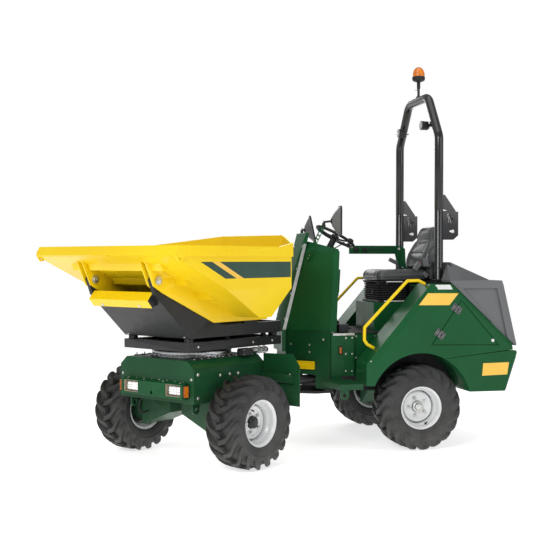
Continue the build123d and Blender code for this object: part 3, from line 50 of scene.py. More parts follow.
rest_angle = -sum(joints["articulation"]["range_deg"]) / 2
REAR = Matrix.Translation((pivot.x, pivot.y, 0))
FRONT = REAR @ Matrix.Rotation(radians(rest_angle), 4, "Z")
SIDES = (1, -1)
AXES = {"xz": (0, 2, 1), "yz": (1, 2, 0), "xy": (0, 1, 2)}    # a plane's two axes and the third one
HOME = Matrix.Identity(4)

# ---------------------------------------------------------------- materials


def finish(name, colour, other=None, rough=(0.4, 0.5), metallic=0.0, coat=0.0, patch=2.5, grain=250.0,
        bump=0.08, depth=0.0004, speck=None, dust=0.0, ribs=None, cells=None, shine=0.26):
    """Material: two tones in soft patches, uneven roughness, fine bump, optional specks and dust.
    """
    made = bpy.data.materials.new(name)
    made.use_nodes = True
    tree = made.node_tree
    shader = tree.nodes["Principled BSDF"]
    shader.inputs["Metallic"].default_value = metallic
    shader.inputs["Coat Weight"].default_value = coat
    shader.inputs["Coat Roughness"].default_value = 0.08
    shader.inputs["Specular IOR Level"].default_value = shine

    def node(kind, **values):
        item = tree.nodes.new(kind)
        for key, value in values.items():
            item.inputs[key].default_value = value
        return item

    def link(source, output, target, entry):
        tree.links.new(source.outputs[output], target.inputs[entry])

    place = tree.nodes.new("ShaderNodeTexCoord")

    def noise(scale, detail=3.0):
        item = node("ShaderNodeTexNoise", Scale=scale, Detail=detail, Roughness=0.55)
        link(place, "Object", item, "Vector")
        return item

    def blended(factor, output, low, high):
        item = tree.nodes.new("ShaderNodeMix")
        item.data_type = "RGBA"
        link(factor, output, item, "Factor")
        for entry, value in ((6, low), (7, high)):
            if isinstance(value, tuple):
                item.inputs[entry].default_value = (*value, 1)
            else:
                tree.links.new(value, item.inputs[entry])
        return item.outputs[2]

    def ranged(source, output, low, high, start, end):
        item = tree.nodes.new("ShaderNodeMapRange")
        for entry, value in ((1, low), (2, high), (3, start), (4, end)):
            item.inputs[entry].default_value = value
        link(source, output, item, "Value")
        return item

    soft = noise(patch)
    tone = ranged(soft, "Fac", 0.35, 0.65, 0.0, 1.0)
    paint = blended(tone, "Result", colour, other or tuple(c * 0.82 for c in colour))
    if speck:
        fine = noise(speck[1], 2.0)
        mask = ranged(fine, "Fac", speck[2], speck[2] + 0.05, 0.0, 0.75)
        paint = blended(mask, "Result", paint, speck[0])
    if dust:
        split = tree.nodes.new("ShaderNodeSeparateXYZ")
        link(place, "Object", split, "Vector")
        low = ranged(split, "Z", 0.05, 0.75, dust, 0.0)
        patches = noise(9.0, 5.0)
        share = tree.nodes.new("ShaderNodeMath")
        share.operation = "MULTIPLY"
        link(low, "Result", share, 0)
        link(patches, "Fac", share, 1)
        paint = blended(share, "Value", paint, (0.3, 0.29, 0.27))
    tree.links.new(paint, shader.inputs["Base Color"])
    uneven = ranged(noise(patch * 5, 4.0), "Fac", 0.3, 0.7, rough[0], rough[1])
    link(uneven, "Result", shader, "Roughness")
    relief = noise(grain, 2.0)
    height = (relief, "Fac")
    if cells:
        relief = node("ShaderNodeTexVoronoi", Scale=cells)
        link(place, "Object", relief, "Vector")
        height = (relief, "Distance")
    if ribs:
        relief = tree.nodes.new("ShaderNodeTexWave")
        relief.bands_direction = ribs[1]
        relief.inputs["Scale"].default_value = ribs[0]
        link(place, "Object", relief, "Vector")
        height = (relief, "Fac")
    bumped = node("ShaderNodeBump", Strength=bump, Distance=depth)
    link(height[0], height[1], bumped, "Height")
    link(bumped, "Normal", shader, "Normal")
    return made


def lens(name, colour, rough=0.06, through=0.6, glow=0.0, ribs=0.0):
    """Lamp lens: clear tinted plastic with a moulded pattern."""
    made = finish(name, colour, tuple(c * 0.75 for c in colour), (rough, rough + 0.08), coat=0.6,
        patch=14, bump=0.35 if ribs else 0.1, depth=0.002, ribs=(ribs, "Z") if ribs else None, grain=120)
    shader = made.node_tree.nodes["Principled BSDF"]
    shader.inputs["Transmission Weight"].default_value = through
    shader.inputs["IOR"].default_value = 1.45
    if glow:
        shader.inputs["Emission Color"].default_value = (*colour, 1)
        shader.inputs["Emission Strength"].default_value = glow
    return made


GREEN = (0.008, 0.085, 0.027)
YELLOW = (0.86, 0.61, 0.006)
green = finish("green_paint", GREEN, (0.006, 0.068, 0.021), (0.3, 0.4), coat=0.06, shine=0.14, patch=1.6,
    grain=420, bump=0.03, speck=((0.05, 0.16, 0.09), 900, 0.7))
green_low = finish("green_frame_paint", (0.007, 0.068, 0.023), (0.005, 0.05, 0.017), (0.36, 0.48),
    coat=0.05, shine=0.16, patch=3, grain=300, bump=0.09, dust=0.15)
yellow = finish("yellow_paint", YELLOW, (0.8, 0.55, 0.005), (0.26, 0.38), coat=0.15, patch=1.4, grain=380,
    bump=0.05, speck=((0.9, 0.72, 0.2), 800, 0.71))
black = finish("black_satin_paint", (0.02, 0.021, 0.023), (0.013, 0.013, 0.015), (0.34, 0.46), coat=0.06,
    patch=3, grain=350, bump=0.1, speck=((0.07, 0.07, 0.075), 700, 0.69))
black_gloss = finish("black_gloss_paint", (0.014, 0.015, 0.017), (0.01, 0.01, 0.012), (0.2, 0.28),
    coat=0.5, patch=3, grain=420, bump=0.015)
chassis_black = finish("chassis_black", (0.022, 0.023, 0.025), (0.012, 0.012, 0.013), (0.42, 0.58),
    patch=4, grain=220, bump=0.14, dust=0.3)
hood_grey = finish("hood_plastic", (0.13, 0.135, 0.138), (0.108, 0.112, 0.115), (0.42, 0.55), patch=1.8,
    grain=900, bump=0.16, depth=0.0003)
black_plastic = finish("black_plastic", (0.02, 0.02, 0.022), (0.013, 0.013, 0.014), (0.45, 0.6), patch=5,
    cells=900, bump=0.18, depth=0.0003)
tyre_rubber = finish("tyre_rubber", (0.026, 0.027, 0.029), (0.014, 0.015, 0.016), (0.5, 0.66), patch=12,
    grain=160, bump=0.22, depth=0.0012, speck=((0.1, 0.1, 0.098), 260, 0.66), dust=0.3)
rubber = finish("rubber", (0.022, 0.022, 0.023), (0.014, 0.014, 0.015), (0.6, 0.75), patch=10, grain=260,
    bump=0.2)
rim_paint = finish("rim_paint", (0.76, 0.77, 0.78), (0.68, 0.69, 0.7), (0.28, 0.4), metallic=0.05,
    coat=0.35, patch=6, grain=360, bump=0.06, dust=0.25)
zinc = finish("zinc_bolts", (0.66, 0.67, 0.66), (0.5, 0.5, 0.48), (0.24, 0.38), metallic=0.9, patch=30,
    grain=600, bump=0.12)
steel = finish("machined_steel", (0.52, 0.53, 0.54), (0.4, 0.41, 0.42), (0.2, 0.34), metallic=1.0,
    patch=8, ribs=(90, "Z"), bump=0.05, depth=0.0002)
chrome = finish("chromed_rod", (0.72, 0.73, 0.74), (0.66, 0.67, 0.68), (0.05, 0.12), metallic=1.0,
    patch=6, grain=500, bump=0.02)
cast = finish("cast_iron", (0.055, 0.057, 0.06), (0.035, 0.036, 0.038), (0.5, 0.66), metallic=0.35,
    patch=14, grain=180, bump=0.3, depth=0.001)
vinyl = finish("seat_vinyl", (0.07, 0.072, 0.075), (0.05, 0.052, 0.054), (0.27, 0.4), patch=7, cells=520,
    bump=0.25, coat=0.25, depth=0.0005)
mat_rubber = finish("floor_mat", (0.02, 0.02, 0.021), (0.013, 0.013, 0.014), (0.5, 0.68), patch=8,
    cells=60, bump=0.5, depth=0.002, speck=((0.16, 0.155, 0.15), 300, 0.68))
decal_green = finish("decal_green", (0.028, 0.07, 0.05), (0.022, 0.058, 0.042), (0.3, 0.4), coat=0.3,
    patch=5, grain=500, bump=0.04)
decal_tan = finish("decal_tan", (0.86, 0.53, 0.085), (0.8, 0.48, 0.07), (0.3, 0.4), coat=0.3, patch=5,
    grain=500, bump=0.04)
# white plastic parts; the same material also paints the highlight strips on the side bodies' top bevels
white_plastic_and_painted_highlight = finish("white_plastic_and_painted_highlight", (0.72, 0.73, 0.72), (0.64, 0.65, 0.64), (0.35, 0.45), patch=9,
    grain=500)
mirror_glass = finish("mirror_glass", (0.8, 0.82, 0.83), (0.77, 0.79, 0.8), (0.02, 0.05), metallic=1.0,
    patch=4, grain=600, bump=0.01)
reflector = finish("lamp_reflector", (0.82, 0.83, 0.84), (0.74, 0.75, 0.76), (0.06, 0.16), metallic=1.0,
    patch=20, cells=140, bump=0.5, depth=0.003)
amber = lens("amber_lens", (0.95, 0.26, 0.015), through=0.35, ribs=70)
beacon_amber = lens("beacon_lens", (0.95, 0.27, 0.01), through=0.3, ribs=60)
red_lens = lens("red_lens", (0.6, 0.012, 0.01), through=0.25, ribs=80)
clear = lens("clear_lens", (0.92, 0.93, 0.94), rough=0.02, through=0.92)
lit = lens("headlight_diode", (1.0, 0.98, 0.92), through=0.0, glow=0.9)

# the finish of every CAD node that stays in sight
node_looks = (
    (chassis_black, "rear_chassis"),
    (green_low, "rear_wheel_carriers console_base steps front_chassis mudguards front_wheel_carriers"),
    (green, "side_body_left side_body_right rear_bumper platform console console_front_cover "
     "seat_base guard_bar light_bar charge_door console_hatch"),
    (black_plastic, "wheel_arch_liners steering_column battery_block marker_lamps pedals "
     "front_lamps rops_lamps"),
    (yellow, "hand_rails articulation_lock guard_plate skip"),
    (black_gloss, "rops_lower rops_upper"),
    (steel, "slew_ring"),
    (cast, "slew_drive"),
    (black, "turntable_frame skip_cradle tip_cylinder_barrel steering_cylinder_barrel"),
    (chrome, "tip_cylinder_rod steering_cylinder_rod"),
    (hood_grey, "hood"),
)
for look, node_names in node_looks:
    for node_name in node_names.split():
        slots = frame["nodes"][node_name].data.materials
        slots.clear()
        slots.append(look)

# ---------------------------------------------------------------- mesh helpers


class Shape:
    """Gathers faces, then becomes one piece on a body."""

    def __init__(self):
        self.verts = []
        self.faces = []
        self.place = HOME

    def add(self, verts, faces):
        start = len(self.verts)
        self.verts.extend(self.place @ Vector(v) for v in verts)
        self.faces.extend(tuple(start + i for i in face) for face in faces)

    def at(self, matrix):
        """What follows is drawn in this place, given in the shape's own coordinates."""
        self.place = matrix
        return self

    def prism(self, outline, span, plane="xz"):
        """A flat outline in a plane, extruded over a span of the third axis."""
        order = AXES[plane]
        count = len(outline)
        verts = []
        for level in sorted(span):
            for u, v in outline:
                point = [0, 0, 0]
                point[order[0]], point[order[1]], point[order[2]] = u, v, level
                verts.append(point)
        faces = [tuple(range(count)), tuple(range(2 * count - 1, count - 1, -1))]
        faces += [(i, (i + 1) % count, count + (i + 1) % count, count + i) for i in range(count)]
        self.add(verts, faces)

    def slab(self, low, high, plane="xy"):
        """A block between two opposite corners, extruded from a plane."""
        (u0, u1), (v0, v1), span = [sorted((low[axis], high[axis])) for axis in AXES[plane]]
        self.prism([(u0, v0), (u1, v0), (u1, v1), (u0, v1)], span, plane)

    def lathe(self, profile, steps=48, closed=False, place=None):
        """A (radius, height) profile turned about the local Z axis, or about the Z of a place."""
        kept = self.place
        self.place = place or kept
        turns = [2 * pi * k / steps for k in range(steps)]
        verts = [(r * cos(turn), r * sin(turn), h) for turn in turns for r, h in profile]
        count = len(profile)
        faces = []
        for k in range(steps):
            here, there = k * count, (k + 1) % steps * count
            for i in range(count if closed else count - 1):
                j = (i + 1) % count
                faces.append((here + i, there + i, there + j, here + j))
        if not closed:
            for i in (0, count - 1):
                if profile[i][0] > 1e-6:
                    faces.append(tuple(k * count + i for k in range(steps)))
        self.add(verts, faces)
        self.place = kept

    def tube(self, points, radius, sides=12, closed=False, flat=1.0):
        """A round bar through points, its section squeezed by flat."""
        points = [Vector(p) for p in points]
        count = len(points)
        verts = []
        up = Vector((0.13, 0.21, 0.97))
        for i, point in enumerate(points):
            before = points[i - 1] if closed or i else points[0]
            after = points[(i + 1) % count] if closed or i < count - 1 else points[-1]
            along = (after - before).normalized()
            across = along.cross(up)
            if across.length < 1e-4:
                across = along.cross(Vector((1, 0, 0)))
            across.normalize()
            up = across.cross(along).normalized()
            size = radius[i] if isinstance(radius, (list, tuple)) else radius
            for k in range(sides):
                turn = 2 * pi * k / sides
                verts.append(point + across * cos(turn) * size + up * sin(turn) * size * flat)
        faces = []
        for i in range(count if closed else count - 1):
            here, there = i * sides, (i + 1) % count * sides
            for k in range(sides):
                faces.append((here + k, here + (k + 1) % sides, there + (k + 1) % sides, there + k))
        if not closed:
            faces += [tuple(range(sides)), tuple(range(count * sides - 1, (count - 1) * sides - 1, -1))]
        self.add(verts, faces)

    def bolt(self, at, normal, size=0.009, kind="hex washer"):
        """A head standing on a surface: hex or dome, alone or with a washer under it."""
        kept = self.place
        self.place = kept @ turned_to(at, normal)
        if kind.endswith("washer"):
            self.lathe([(0, 0), (size * 1.5, 0), (size * 1.5, size * 0.22), (size * 1.35, size * 0.3),
                (0, size * 0.3)], 18)
        if kind.startswith("dome"):
            self.lathe([(0, 0), (size, 0), (size * 0.96, size * 0.35), (size * 0.7, size * 0.68),
                (size * 0.3, size * 0.8), (0, size * 0.8)], 18)
        else:
            self.lathe([(0, 0), (size, 0), (size, size * 0.75), (size * 0.82, size * 0.95),
                (0, size * 0.95)], 6)
        self.place = kept

    def become(self, name, body, look, place=None, slot=None, bevel=0.0, segments=2, smooth=35,
            replaces=()):
        """Makes the piece, puts it on its body's half of the machine and lets it ride on the body."""
        place = place or (FRONT if body in ("front", "turntable", "skip") else REAR)
        mesh = bpy.data.meshes.new(name)
        mesh.from_pydata([place @ v for v in self.verts], [], self.faces)
        mesh.validate()
        piece = bpy.data.objects.new(name, mesh)
        bpy.context.scene.collection.objects.link(piece)
        work = bmesh.new()
        work.from_mesh(mesh)
        bmesh.ops.remove_doubles(work, verts=work.verts, dist=0.00002)
        bmesh.ops.recalc_face_normals(work, faces=work.faces)
        work.to_mesh(mesh)
        work.free()
        if bevel:
            edge = piece.modifiers.new("Edges", "BEVEL")
            edge.width = bevel
            edge.segments = segments
            edge.limit_method = "ANGLE"
            edge.angle_limit = radians(32)
            edge.harden_normals = True
        mesh.shade_smooth()
        mesh.set_sharp_from_angle(angle=radians(smooth))
        mesh.materials.append(look)
        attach(piece, body)
        if replaces:
            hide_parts(*replaces)
        return piece


def rounded(points, radius, steps=4):
    """A path with its inner corners rounded."""
    points = [Vector(p) for p in points]
    path = [points[0]]
    for before, here, after in zip(points, points[1:], points[2:]):
        reach = min(radius, (before - here).length * 0.49, (after - here).length * 0.49)
        start = here + (before - here).normalized() * reach
        end = here + (after - here).normalized() * reach
        for i in range(steps + 1):
            t = i / steps
            path.append(start * (1 - t) ** 2 + here * 2 * t * (1 - t) + end * t ** 2)
    path.append(points[-1])
    return path


def turned_to(origin, normal):
    """A place whose local Z looks along a direction."""
    return Matrix.Translation(origin) @ Vector(normal).to_track_quat("Z", "Y").to_matrix().to_4x4()


def basis(x_axis, y_axis, z_axis, origin):
    """A place with these axes at an origin."""
    place = Matrix((x_axis, y_axis, z_axis)).transposed().to_4x4()
    place.translation = origin
    return place


def ring_outline(half_x, half_y, corner, count=64, phase=0.5):
    """A rounded rectangle's points (x, y) about its centre."""
    points = []
    for k in range(count):
        turn = 2 * pi * (k + phase) / count
        cx, cy = (1 if cos(turn) > 0 else -1), (1 if sin(turn) > 0 else -1)
        points.append((cx * (half_x - corner) + corner * cos(turn),
            cy * (half_y - corner) + corner * sin(turn)))
    return points


def skin_rings(shape, rings, hoop=False):
    """Joins equal rings into one form: a stack with closed ends, or a hoop that meets itself."""
    levels, count = len(rings), len(rings[0])
    faces = []
    for i in range(levels if hoop else levels - 1):
        here, there = i * count, (i + 1) % levels * count
        faces += [(here + k, here + (k + 1) % count, there + (k + 1) % count,
            there + k) for k in range(count)]
    if not hoop:
        faces += [tuple(range(count)), tuple(range((levels - 1) * count, levels * count))]
    shape.add([point for ring in rings for point in ring], faces)


# ---------------------------------------------------------------- camera, light and floor
camera_data = bpy.data.cameras.new("camera")
camera = bpy.data.objects.new("camera", camera_data)
bpy.context.scene.collection.objects.link(camera)
CAMERA_SPOT = (1.857, 7.908, 1.472)
YAW_DEG, PITCH_DEG, LENS_MM = -103.37, -0.87, 65.34131
yaw, pitch = radians(YAW_DEG), radians(PITCH_DEG)
aim = Vector((cos(yaw) * cos(pitch), sin(yaw) * cos(pitch), sin(pitch)))
camera.location = REAR @ Vector(CAMERA_SPOT)
camera.rotation_mode = "QUATERNION"
camera.rotation_quaternion = aim.to_track_quat("-Z", "Y")
camera_data.sensor_width = 36
camera_data.lens = LENS_MM
camera_data.clip_end = 200
bpy.context.scene.camera = camera
bpy.context.scene.view_settings.view_transform = "Standard"

world = bpy.data.worlds.new("studio")
bpy.context.scene.world = world
world.use_nodes = True
backdrop = world.node_tree.nodes["Background"]
backdrop.inputs["Color"].default_value = (1.0, 1.0, 1.0, 1)
seen = world.node_tree.nodes.new("ShaderNodeLightPath")
strength = world.node_tree.nodes.new("ShaderNodeMapRange")
WORLD_LIGHT, WORLD_SEEN, FLOOR_GLOW = 0.42, 1.0, 0.66
strength.inputs["To Min"].default_value = WORLD_LIGHT
strength.inputs["To Max"].default_value = WORLD_SEEN
world.node_tree.links.new(seen.outputs["Is Camera Ray"], strength.inputs["Value"])
world.node_tree.links.new(strength.outputs["Result"], backdrop.inputs["Strength"])


def softbox(name, origin, target, size, power):
    data = bpy.data.lights.new(name, "AREA")
    data.shape = "RECTANGLE"
    data.size, data.size_y = size
    data.energy = power
    light = bpy.data.objects.new(name, data)
    bpy.context.scene.collection.objects.link(light)
    light.location = origin
    light.rotation_mode = "QUATERNION"
    light.rotation_quaternion = (Vector(target) - Vector(origin)).to_track_quat("-Z", "Y")


softbox("key", (4.0, 5.5, 4.6), (0, 0, 0.9), (2.6, 2.2), 230)
softbox("fill", (-4.5, 4.5, 3.2), (-0.3, 0, 0.9), (3.0, 2.5), 60)
softbox("top", (0, 0.5, 6.5), (0, 0, 0), (5.0, 3.5), 90)
softbox("back", (-1.5, -6.0, 3.5), (0, 0, 1.0), (4.0, 2.5), 60)

floor_look = finish("studio_floor", (0.9, 0.9, 0.9), (0.88, 0.88, 0.88), (0.55, 0.7), patch=0.6, grain=40,
    bump=0.02)
floor_shader = floor_look.node_tree.nodes["Principled BSDF"]
floor_shader.inputs["Emission Color"].default_value = (1, 1, 1, 1)
floor_shader.inputs["Emission Strength"].default_value = FLOOR_GLOW
floor_mesh = bpy.data.meshes.new("floor")
floor_mesh.from_pydata([(-60, -60, 0), (60, -60, 0), (60, 60, 0), (-60, 60, 0)], [], [(0, 1, 2, 3)])
floor_mesh.materials.append(floor_look)
floor = bpy.data.objects.new("floor", floor_mesh)
bpy.context.scene.collection.objects.link(floor)

# ---------------------------------------------------------------- wheels
TREAD = [(0.33, 0.0), (0.33, 0.07), (0.3285, 0.096), (0.32, 0.117), (0.304, 0.13), (0.286, 0.1385),
    (0.262, 0.1395), (0.248, 0.1385)]
BASE = [(0.301, 0.0), (0.3, 0.07), (0.296, 0.096), (0.286, 0.114), (0.272, 0.125), (0.258, 0.1325),
    (0.246, 0.1365), (0.238, 0.137)]
LUGS = 18


def on_profile(profile, lateral):
    """Radius and offset at a share of the profile's length."""
    place = lateral * (len(profile) - 1)
    i = min(int(place), len(profile) - 2)
    t = place - i
    return tuple(a + (b - a) * t for a, b in zip(profile[i], profile[i + 1]))


def tyre_shape():
    """Block tractor tread on a round carcass, outward side to +Y, rolling so that its top goes to +X."""
    shape = Shape()
    half = [(0.301, 0.0), (0.3, 0.07), (0.296, 0.096), (0.286, 0.114), (0.272, 0.125), (0.256, 0.133),
        (0.24, 0.138), (0.236, 0.1408), (0.231, 0.1405), (0.228, 0.137), (0.205, 0.134), (0.188, 0.127),
        (0.176, 0.119), (0.17, 0.1135), (0.1665, 0.111), (0.165, 0.1065), (0.153, 0.104)]
    outline = half + [(r, -w) for r, w in reversed(half)]
    shape.at(Matrix.Rotation(radians(-90), 4, "X"))
    shape.lathe([(r, w) for r, w in outline], 96)
    shape.at(HOME)
    stations = 9
    pitch_angle = 2 * pi / LUGS
    for side in SIDES:
        for k in range(LUGS):
            start = (k + (0.5 if side < 0 else 0)) * pitch_angle
            verts = []
            for i in range(stations):
                share = i / (stations - 1)
                lead = 1.32 * pitch_angle * (1 - min(share / 0.72, 1)) ** 1.15
                top_r, top_y = on_profile(TREAD, share)
                low_r, low_y = on_profile(BASE, share)
                if share == 0:
                    top_y, low_y = -0.012, -0.018
                width = 0.015 + 0.0035 * share
                foot = width + 0.0075
                if share > 0.86:
                    width *= 0.72
                    foot *= 0.8
                    top_r, top_y = (top_r * 0.5 + low_r * 0.5,
                        top_y * 0.4 + low_y * 0.6) if share > 0.99 else (top_r, top_y)
                skew = 0.75 * (1 - min(share / 0.8, 1))
                for r, y, spread in ((low_r - 0.002, low_y, -foot), (top_r, top_y, -width),
                        (top_r, top_y, width), (low_r - 0.002, low_y, foot)):
                    angle = start + lead + spread / r * (1 + skew * 0.35)
                    verts.append((r * sin(angle), side * (y - spread * skew * 0.4), r * cos(angle)))
            faces = []
            for i in range(stations - 1):
                a, b = i * 4, (i + 1) * 4
                faces += [(a + j, a + j + 1, b + j + 1, b + j) for j in range(3)]
            faces += [(0, 1, 2, 3), tuple(range(stations * 4 - 4, stations * 4))]
            shape.add(verts, faces)
    return shape


def rim_shapes():
    """Drop-centre rim with its disc, and the hub with its studs, outward side to +Y."""
    rim = Shape()
    rim.at(Matrix.Rotation(radians(-90), 4, "X"))
    outline = [(0.1655, 0.1135), (0.1655, 0.1095), (0.1625, 0.107), (0.154, 0.1035), (0.1522, 0.099),
        (0.1515, 0.071), (0.14, 0.056), (0.136, 0.05), (0.1355, -0.05), (0.1515, -0.071),
        (0.1522, -0.101), (0.165, -0.107), (0.1655, -0.1135), (0.16, -0.113), (0.147, -0.103),
        (0.146, -0.068), (0.13, -0.047), (0.13, 0.045), (0.1325, 0.05), (0.1455, 0.066), (0.1468, 0.072),
        (0.147, 0.098), (0.15, 0.1035), (0.1585, 0.109), (0.162, 0.1135)]
    rim.lathe(outline, 72, closed=True)
    disc = [(0.131, -0.02), (0.129, -0.004), (0.122, 0.012), (0.119, 0.026), (0.113, 0.0325),
        (0.104, 0.0345), (0.097, 0.0325), (0.092, 0.0268), (0.086, 0.025), (0.046, 0.025), (0.044, 0.019),
        (0.086, 0.0185), (0.098, 0.024), (0.11, 0.024), (0.113, 0.01), (0.121, -0.012), (0.124, -0.021)]
    rim.lathe(disc, 72, closed=True)
    hub = Shape()
    hub.at(Matrix.Rotation(radians(-90), 4, "X"))
    hub.lathe([(0, 0.016), (0.043, 0.016), (0.043, 0.046), (0.04, 0.0485), (0.03, 0.0495), (0.028, 0.058),
        (0.024, 0.062), (0.0, 0.063)], 36)
    studs = Shape()
    for k in range(5):
        turn = 2 * pi * k / 5 + 0.35
        spot = Vector((0.07 * sin(turn), 0.0235, 0.07 * cos(turn)))
        studs.at(turned_to(spot, (0, 1, 0)))
        studs.lathe([(0, 0), (0.0155, 0), (0.0145, 0.006), (0.0, 0.006)], 20)
        studs.lathe([(0, 0.004), (0.0115, 0.004), (0.0115, 0.015), (0.0098, 0.0175), (0, 0.0175)], 6)
        studs.lathe([(0, 0.016), (0.0058, 0.016), (0.0058, 0.024), (0.0045, 0.0255), (0, 0.0255)], 12)
    for k in range(3):
        turn = 2 * pi * k / 3
        studs.bolt((0.034 * sin(turn), 0.049, 0.034 * cos(turn)), (0, 1, 0), 0.0045, kind="hex")
    valve = Shape()
    valve.tube(rounded([(0, 0.06, 0.14), (0, 0.078, 0.1335), (0, 0.104, 0.122)], 0.01), 0.0042, 10)
    valve.tube([(0, 0.098, 0.1245), (0, 0.112, 0.119)], 0.0052, 10)
    valve.tube([(0, 0.058, 0.141), (0, 0.07, 0.1365)], 0.0075, 12)
    return rim, hub, studs, valve


for wheel in ("front_left", "front_right", "rear_left", "rear_right"):
    body = "wheel_" + wheel
    spin = joints[body + "_spin"]
    half = FRONT if wheel.startswith("front") else REAR
    outward = 1 if wheel.endswith("left") else -1
    place = Matrix.Translation(spin["pos_m"]) @ half.to_3x3().to_4x4()
    if outward < 0:
        place = place @ Matrix.Diagonal((1, -1, 1, 1))
    phase = Matrix.Rotation(radians(4 if wheel.startswith("front") else 11), 4, "Y")
    tyre_shape().become("tyre_tread_" + wheel, body, tyre_rubber, place=place @ phase, bevel=0.0022,
        segments=2, smooth=38, replaces=("tyre_" + wheel,))
    rim, hub, studs, valve = rim_shapes()
    stem = Matrix.Rotation(radians(38 if wheel.startswith("front") else -158), 4, "Y")
    rim.become("rim_disc_" + wheel, body, rim_paint, place=place, bevel=0.0012, smooth=40,
        replaces=("rim_" + wheel,))
    hub.become("hub_" + wheel, body, zinc if wheel.startswith("rear") else cast, place=place,
        slot="steel", bevel=0.001)
    studs.become("wheel_studs_" + wheel, body, zinc, place=place, bevel=0.0006)
    valve.become("valve_" + wheel, body, rubber, place=place @ stem)

# ---------------------------------------------------------------- edges of the CAD panels
# bevel width of the CAD nodes
edge_widths = (
    (0.0022, "skip"),
    (0.002, "side_body_left side_body_right console_front_cover console_hatch console_base"),
    (0.003, "rear_bumper console turntable_frame seat_base"),
    (0.0015, "platform light_bar steps guard_bar mudguards"),
    (0.0025, "front_chassis skip_cradle front_wheel_carriers rear_wheel_carriers rear_chassis"),
    (0.0012, "guard_plate rops_lower rops_upper"),
    (0.005, "hood"),
    (0.001, "charge_door"),
)
for width, node_names in edge_widths:
    for node_name in node_names.split():
        item = frame["nodes"][node_name]
        weld = item.modifiers.new("Weld", "WELD")
        weld.merge_threshold = 0.00004
        edge = item.modifiers.new("Edges", "BEVEL")
        edge.width = width
        edge.segments = 2
        edge.limit_method = "ANGLE"
        edge.angle_limit = radians(28)
        edge.harden_normals = False

# ---------------------------------------------------------------- skip: stripes and pin ends
stripes = (
    ("stripe_front", ((1.553, 1.459), (1.445, 1.459), (1.205, 1.346), (1.315, 1.346)), decal_green),
    ("stripe_tan", ((1.445, 1.459), (1.372, 1.459), (1.133, 1.346), (1.205, 1.346)), decal_tan),
    ("stripe_rear", ((1.372, 1.459), (0.628, 1.459), (0.628, 1.348), (1.133, 1.346)), decal_green),
)
STRIPE_Y = (0.70595, 0.7068)    # just inside the skip's side wall and its own outer face
for side, side_name in ((1, "left"), (-1, "right")):
    for label, outline, look in stripes:
        shape = Shape()
        shape.prism(outline, [side * y for y in STRIPE_Y])
        shape.become(label + "_" + side_name, "skip", look)

TIP_X, TIP_Z, EAR_INNER, EAR_OUTER = 1.6, 1.334, 0.288, 0.362
ends = Shape()
for side in SIDES:
    for y, outward in ((EAR_OUTER, 1), (EAR_INNER, -1)):
        ends.at(turned_to((TIP_X, side * y, TIP_Z), (0, side * outward, 0)))
        ends.lathe([(0, 0), (0.03, 0), (0.03, 0.003), (0.0285, 0.0045), (0.0205, 0.0045), (0.0205, 0.009),
            (0.018, 0.0105), (0.0055, 0.0105), (0.0045, 0.0085), (0, 0.0085)], 32)
        for offset in (-0.0245, 0.0245):
            ends.bolt((0.0, offset, 0.0045), (0, 0, 1), 0.0035, kind="hex")
ends.become("tip_pin_ends", "skip", zinc, bevel=0.0004)

guard_bolts = Shape()
for y in (-0.19, 0.19):
    guard_bolts.bolt((1.6193, y, 1.1585), (0.765, 0, -0.644), 0.008, kind="dome washer")
guard_bolts.become("guard_plate_bolts", "turntable", zinc)

# grease nipples, pad bolts and edge bolts of the turntable and the cradle
nipples = Shape()
for side in SIDES:
    nipples.lathe([(0, -0.002), (0.005, -0.002), (0.005, 0.004), (0.003, 0.006), (0.0042, 0.009),
        (0.0015, 0.012), (0, 0.012)], 10, place=turned_to((TIP_X, side * 0.325, 1.3785), (0, 0, 1)))
    for x in (0.341, 1.243):
        for spread in (-0.045, 0.045):
            nipples.bolt((x + spread, side * 0.29, 0.929), (0, 0, 1), 0.008)
    for x in (0.4, 0.62, 1.2):
        nipples.bolt((x, side * 0.3395, 0.86), (0, side, 0), 0.0065, kind="dome washer")
nipples.become("cradle_bolts", "turntable", zinc)
buffers = Shape()
for side in SIDES:
    for x in (0.45, 0.86):
        buffers.lathe([(0, 0), (0.026, 0), (0.026, 0.004), (0.02, 0.007), (0.022, 0.018), (0.016, 0.024),
            (0, 0.024)], 24, place=Matrix.Translation((x, side * 0.29, 0.893)))
buffers.become("cradle_buffers", "turntable", rubber)

# ---------------------------------------------------------------- slew ring and motor
SLEW_X, BOLT_CIRCLE = 0.925, 0.2915
ring_place = FRONT @ Matrix.Translation((SLEW_X, 0, 0))
ring = Shape()
ring.lathe([(0.2655, 0.7655), (0.299, 0.7655), (0.2995, 0.767), (0.2995, 0.777), (0.297, 0.779),
    (0.288, 0.779), (0.286, 0.782), (0.286, 0.786), (0.294, 0.789), (0.295, 0.791), (0.295, 0.809),
    (0.293, 0.8125), (0.2655, 0.8125)], 120, closed=True)
ring.become("slew_ring_race", "front", steel, place=ring_place, replaces=("slew_ring",))
base = Shape()
for k in range(30):
    turn = 2 * pi * k / 30 + 0.05
    base.bolt((BOLT_CIRCLE * cos(turn), BOLT_CIRCLE * sin(turn), 0.7785), (0, 0, 1), 0.0062)
base.become("slew_ring_bolts", "front", zinc, place=ring_place)
gussets = Shape()
for side in SIDES:
    gussets.slab((0.7, side * 0.3, 0.7652), (1.215, side * 0.3125, 0.77))
    for k in range(7):
        x = 0.735 + k * 0.077
        gussets.slab((x - 0.004, side * 0.3005, 0.7695), (x + 0.004, side * 0.3045, 0.786))
gussets.become("deck_gussets", "front", cast, bevel=0.0008)
deck_bolts = Shape()
for side in SIDES:
    for k in range(8):
        deck_bolts.bolt((0.7 + k * 0.073, side * 0.3085, 0.77), (0, 0, 1), 0.005)
deck_bolts.become("deck_bolts", "front", zinc)

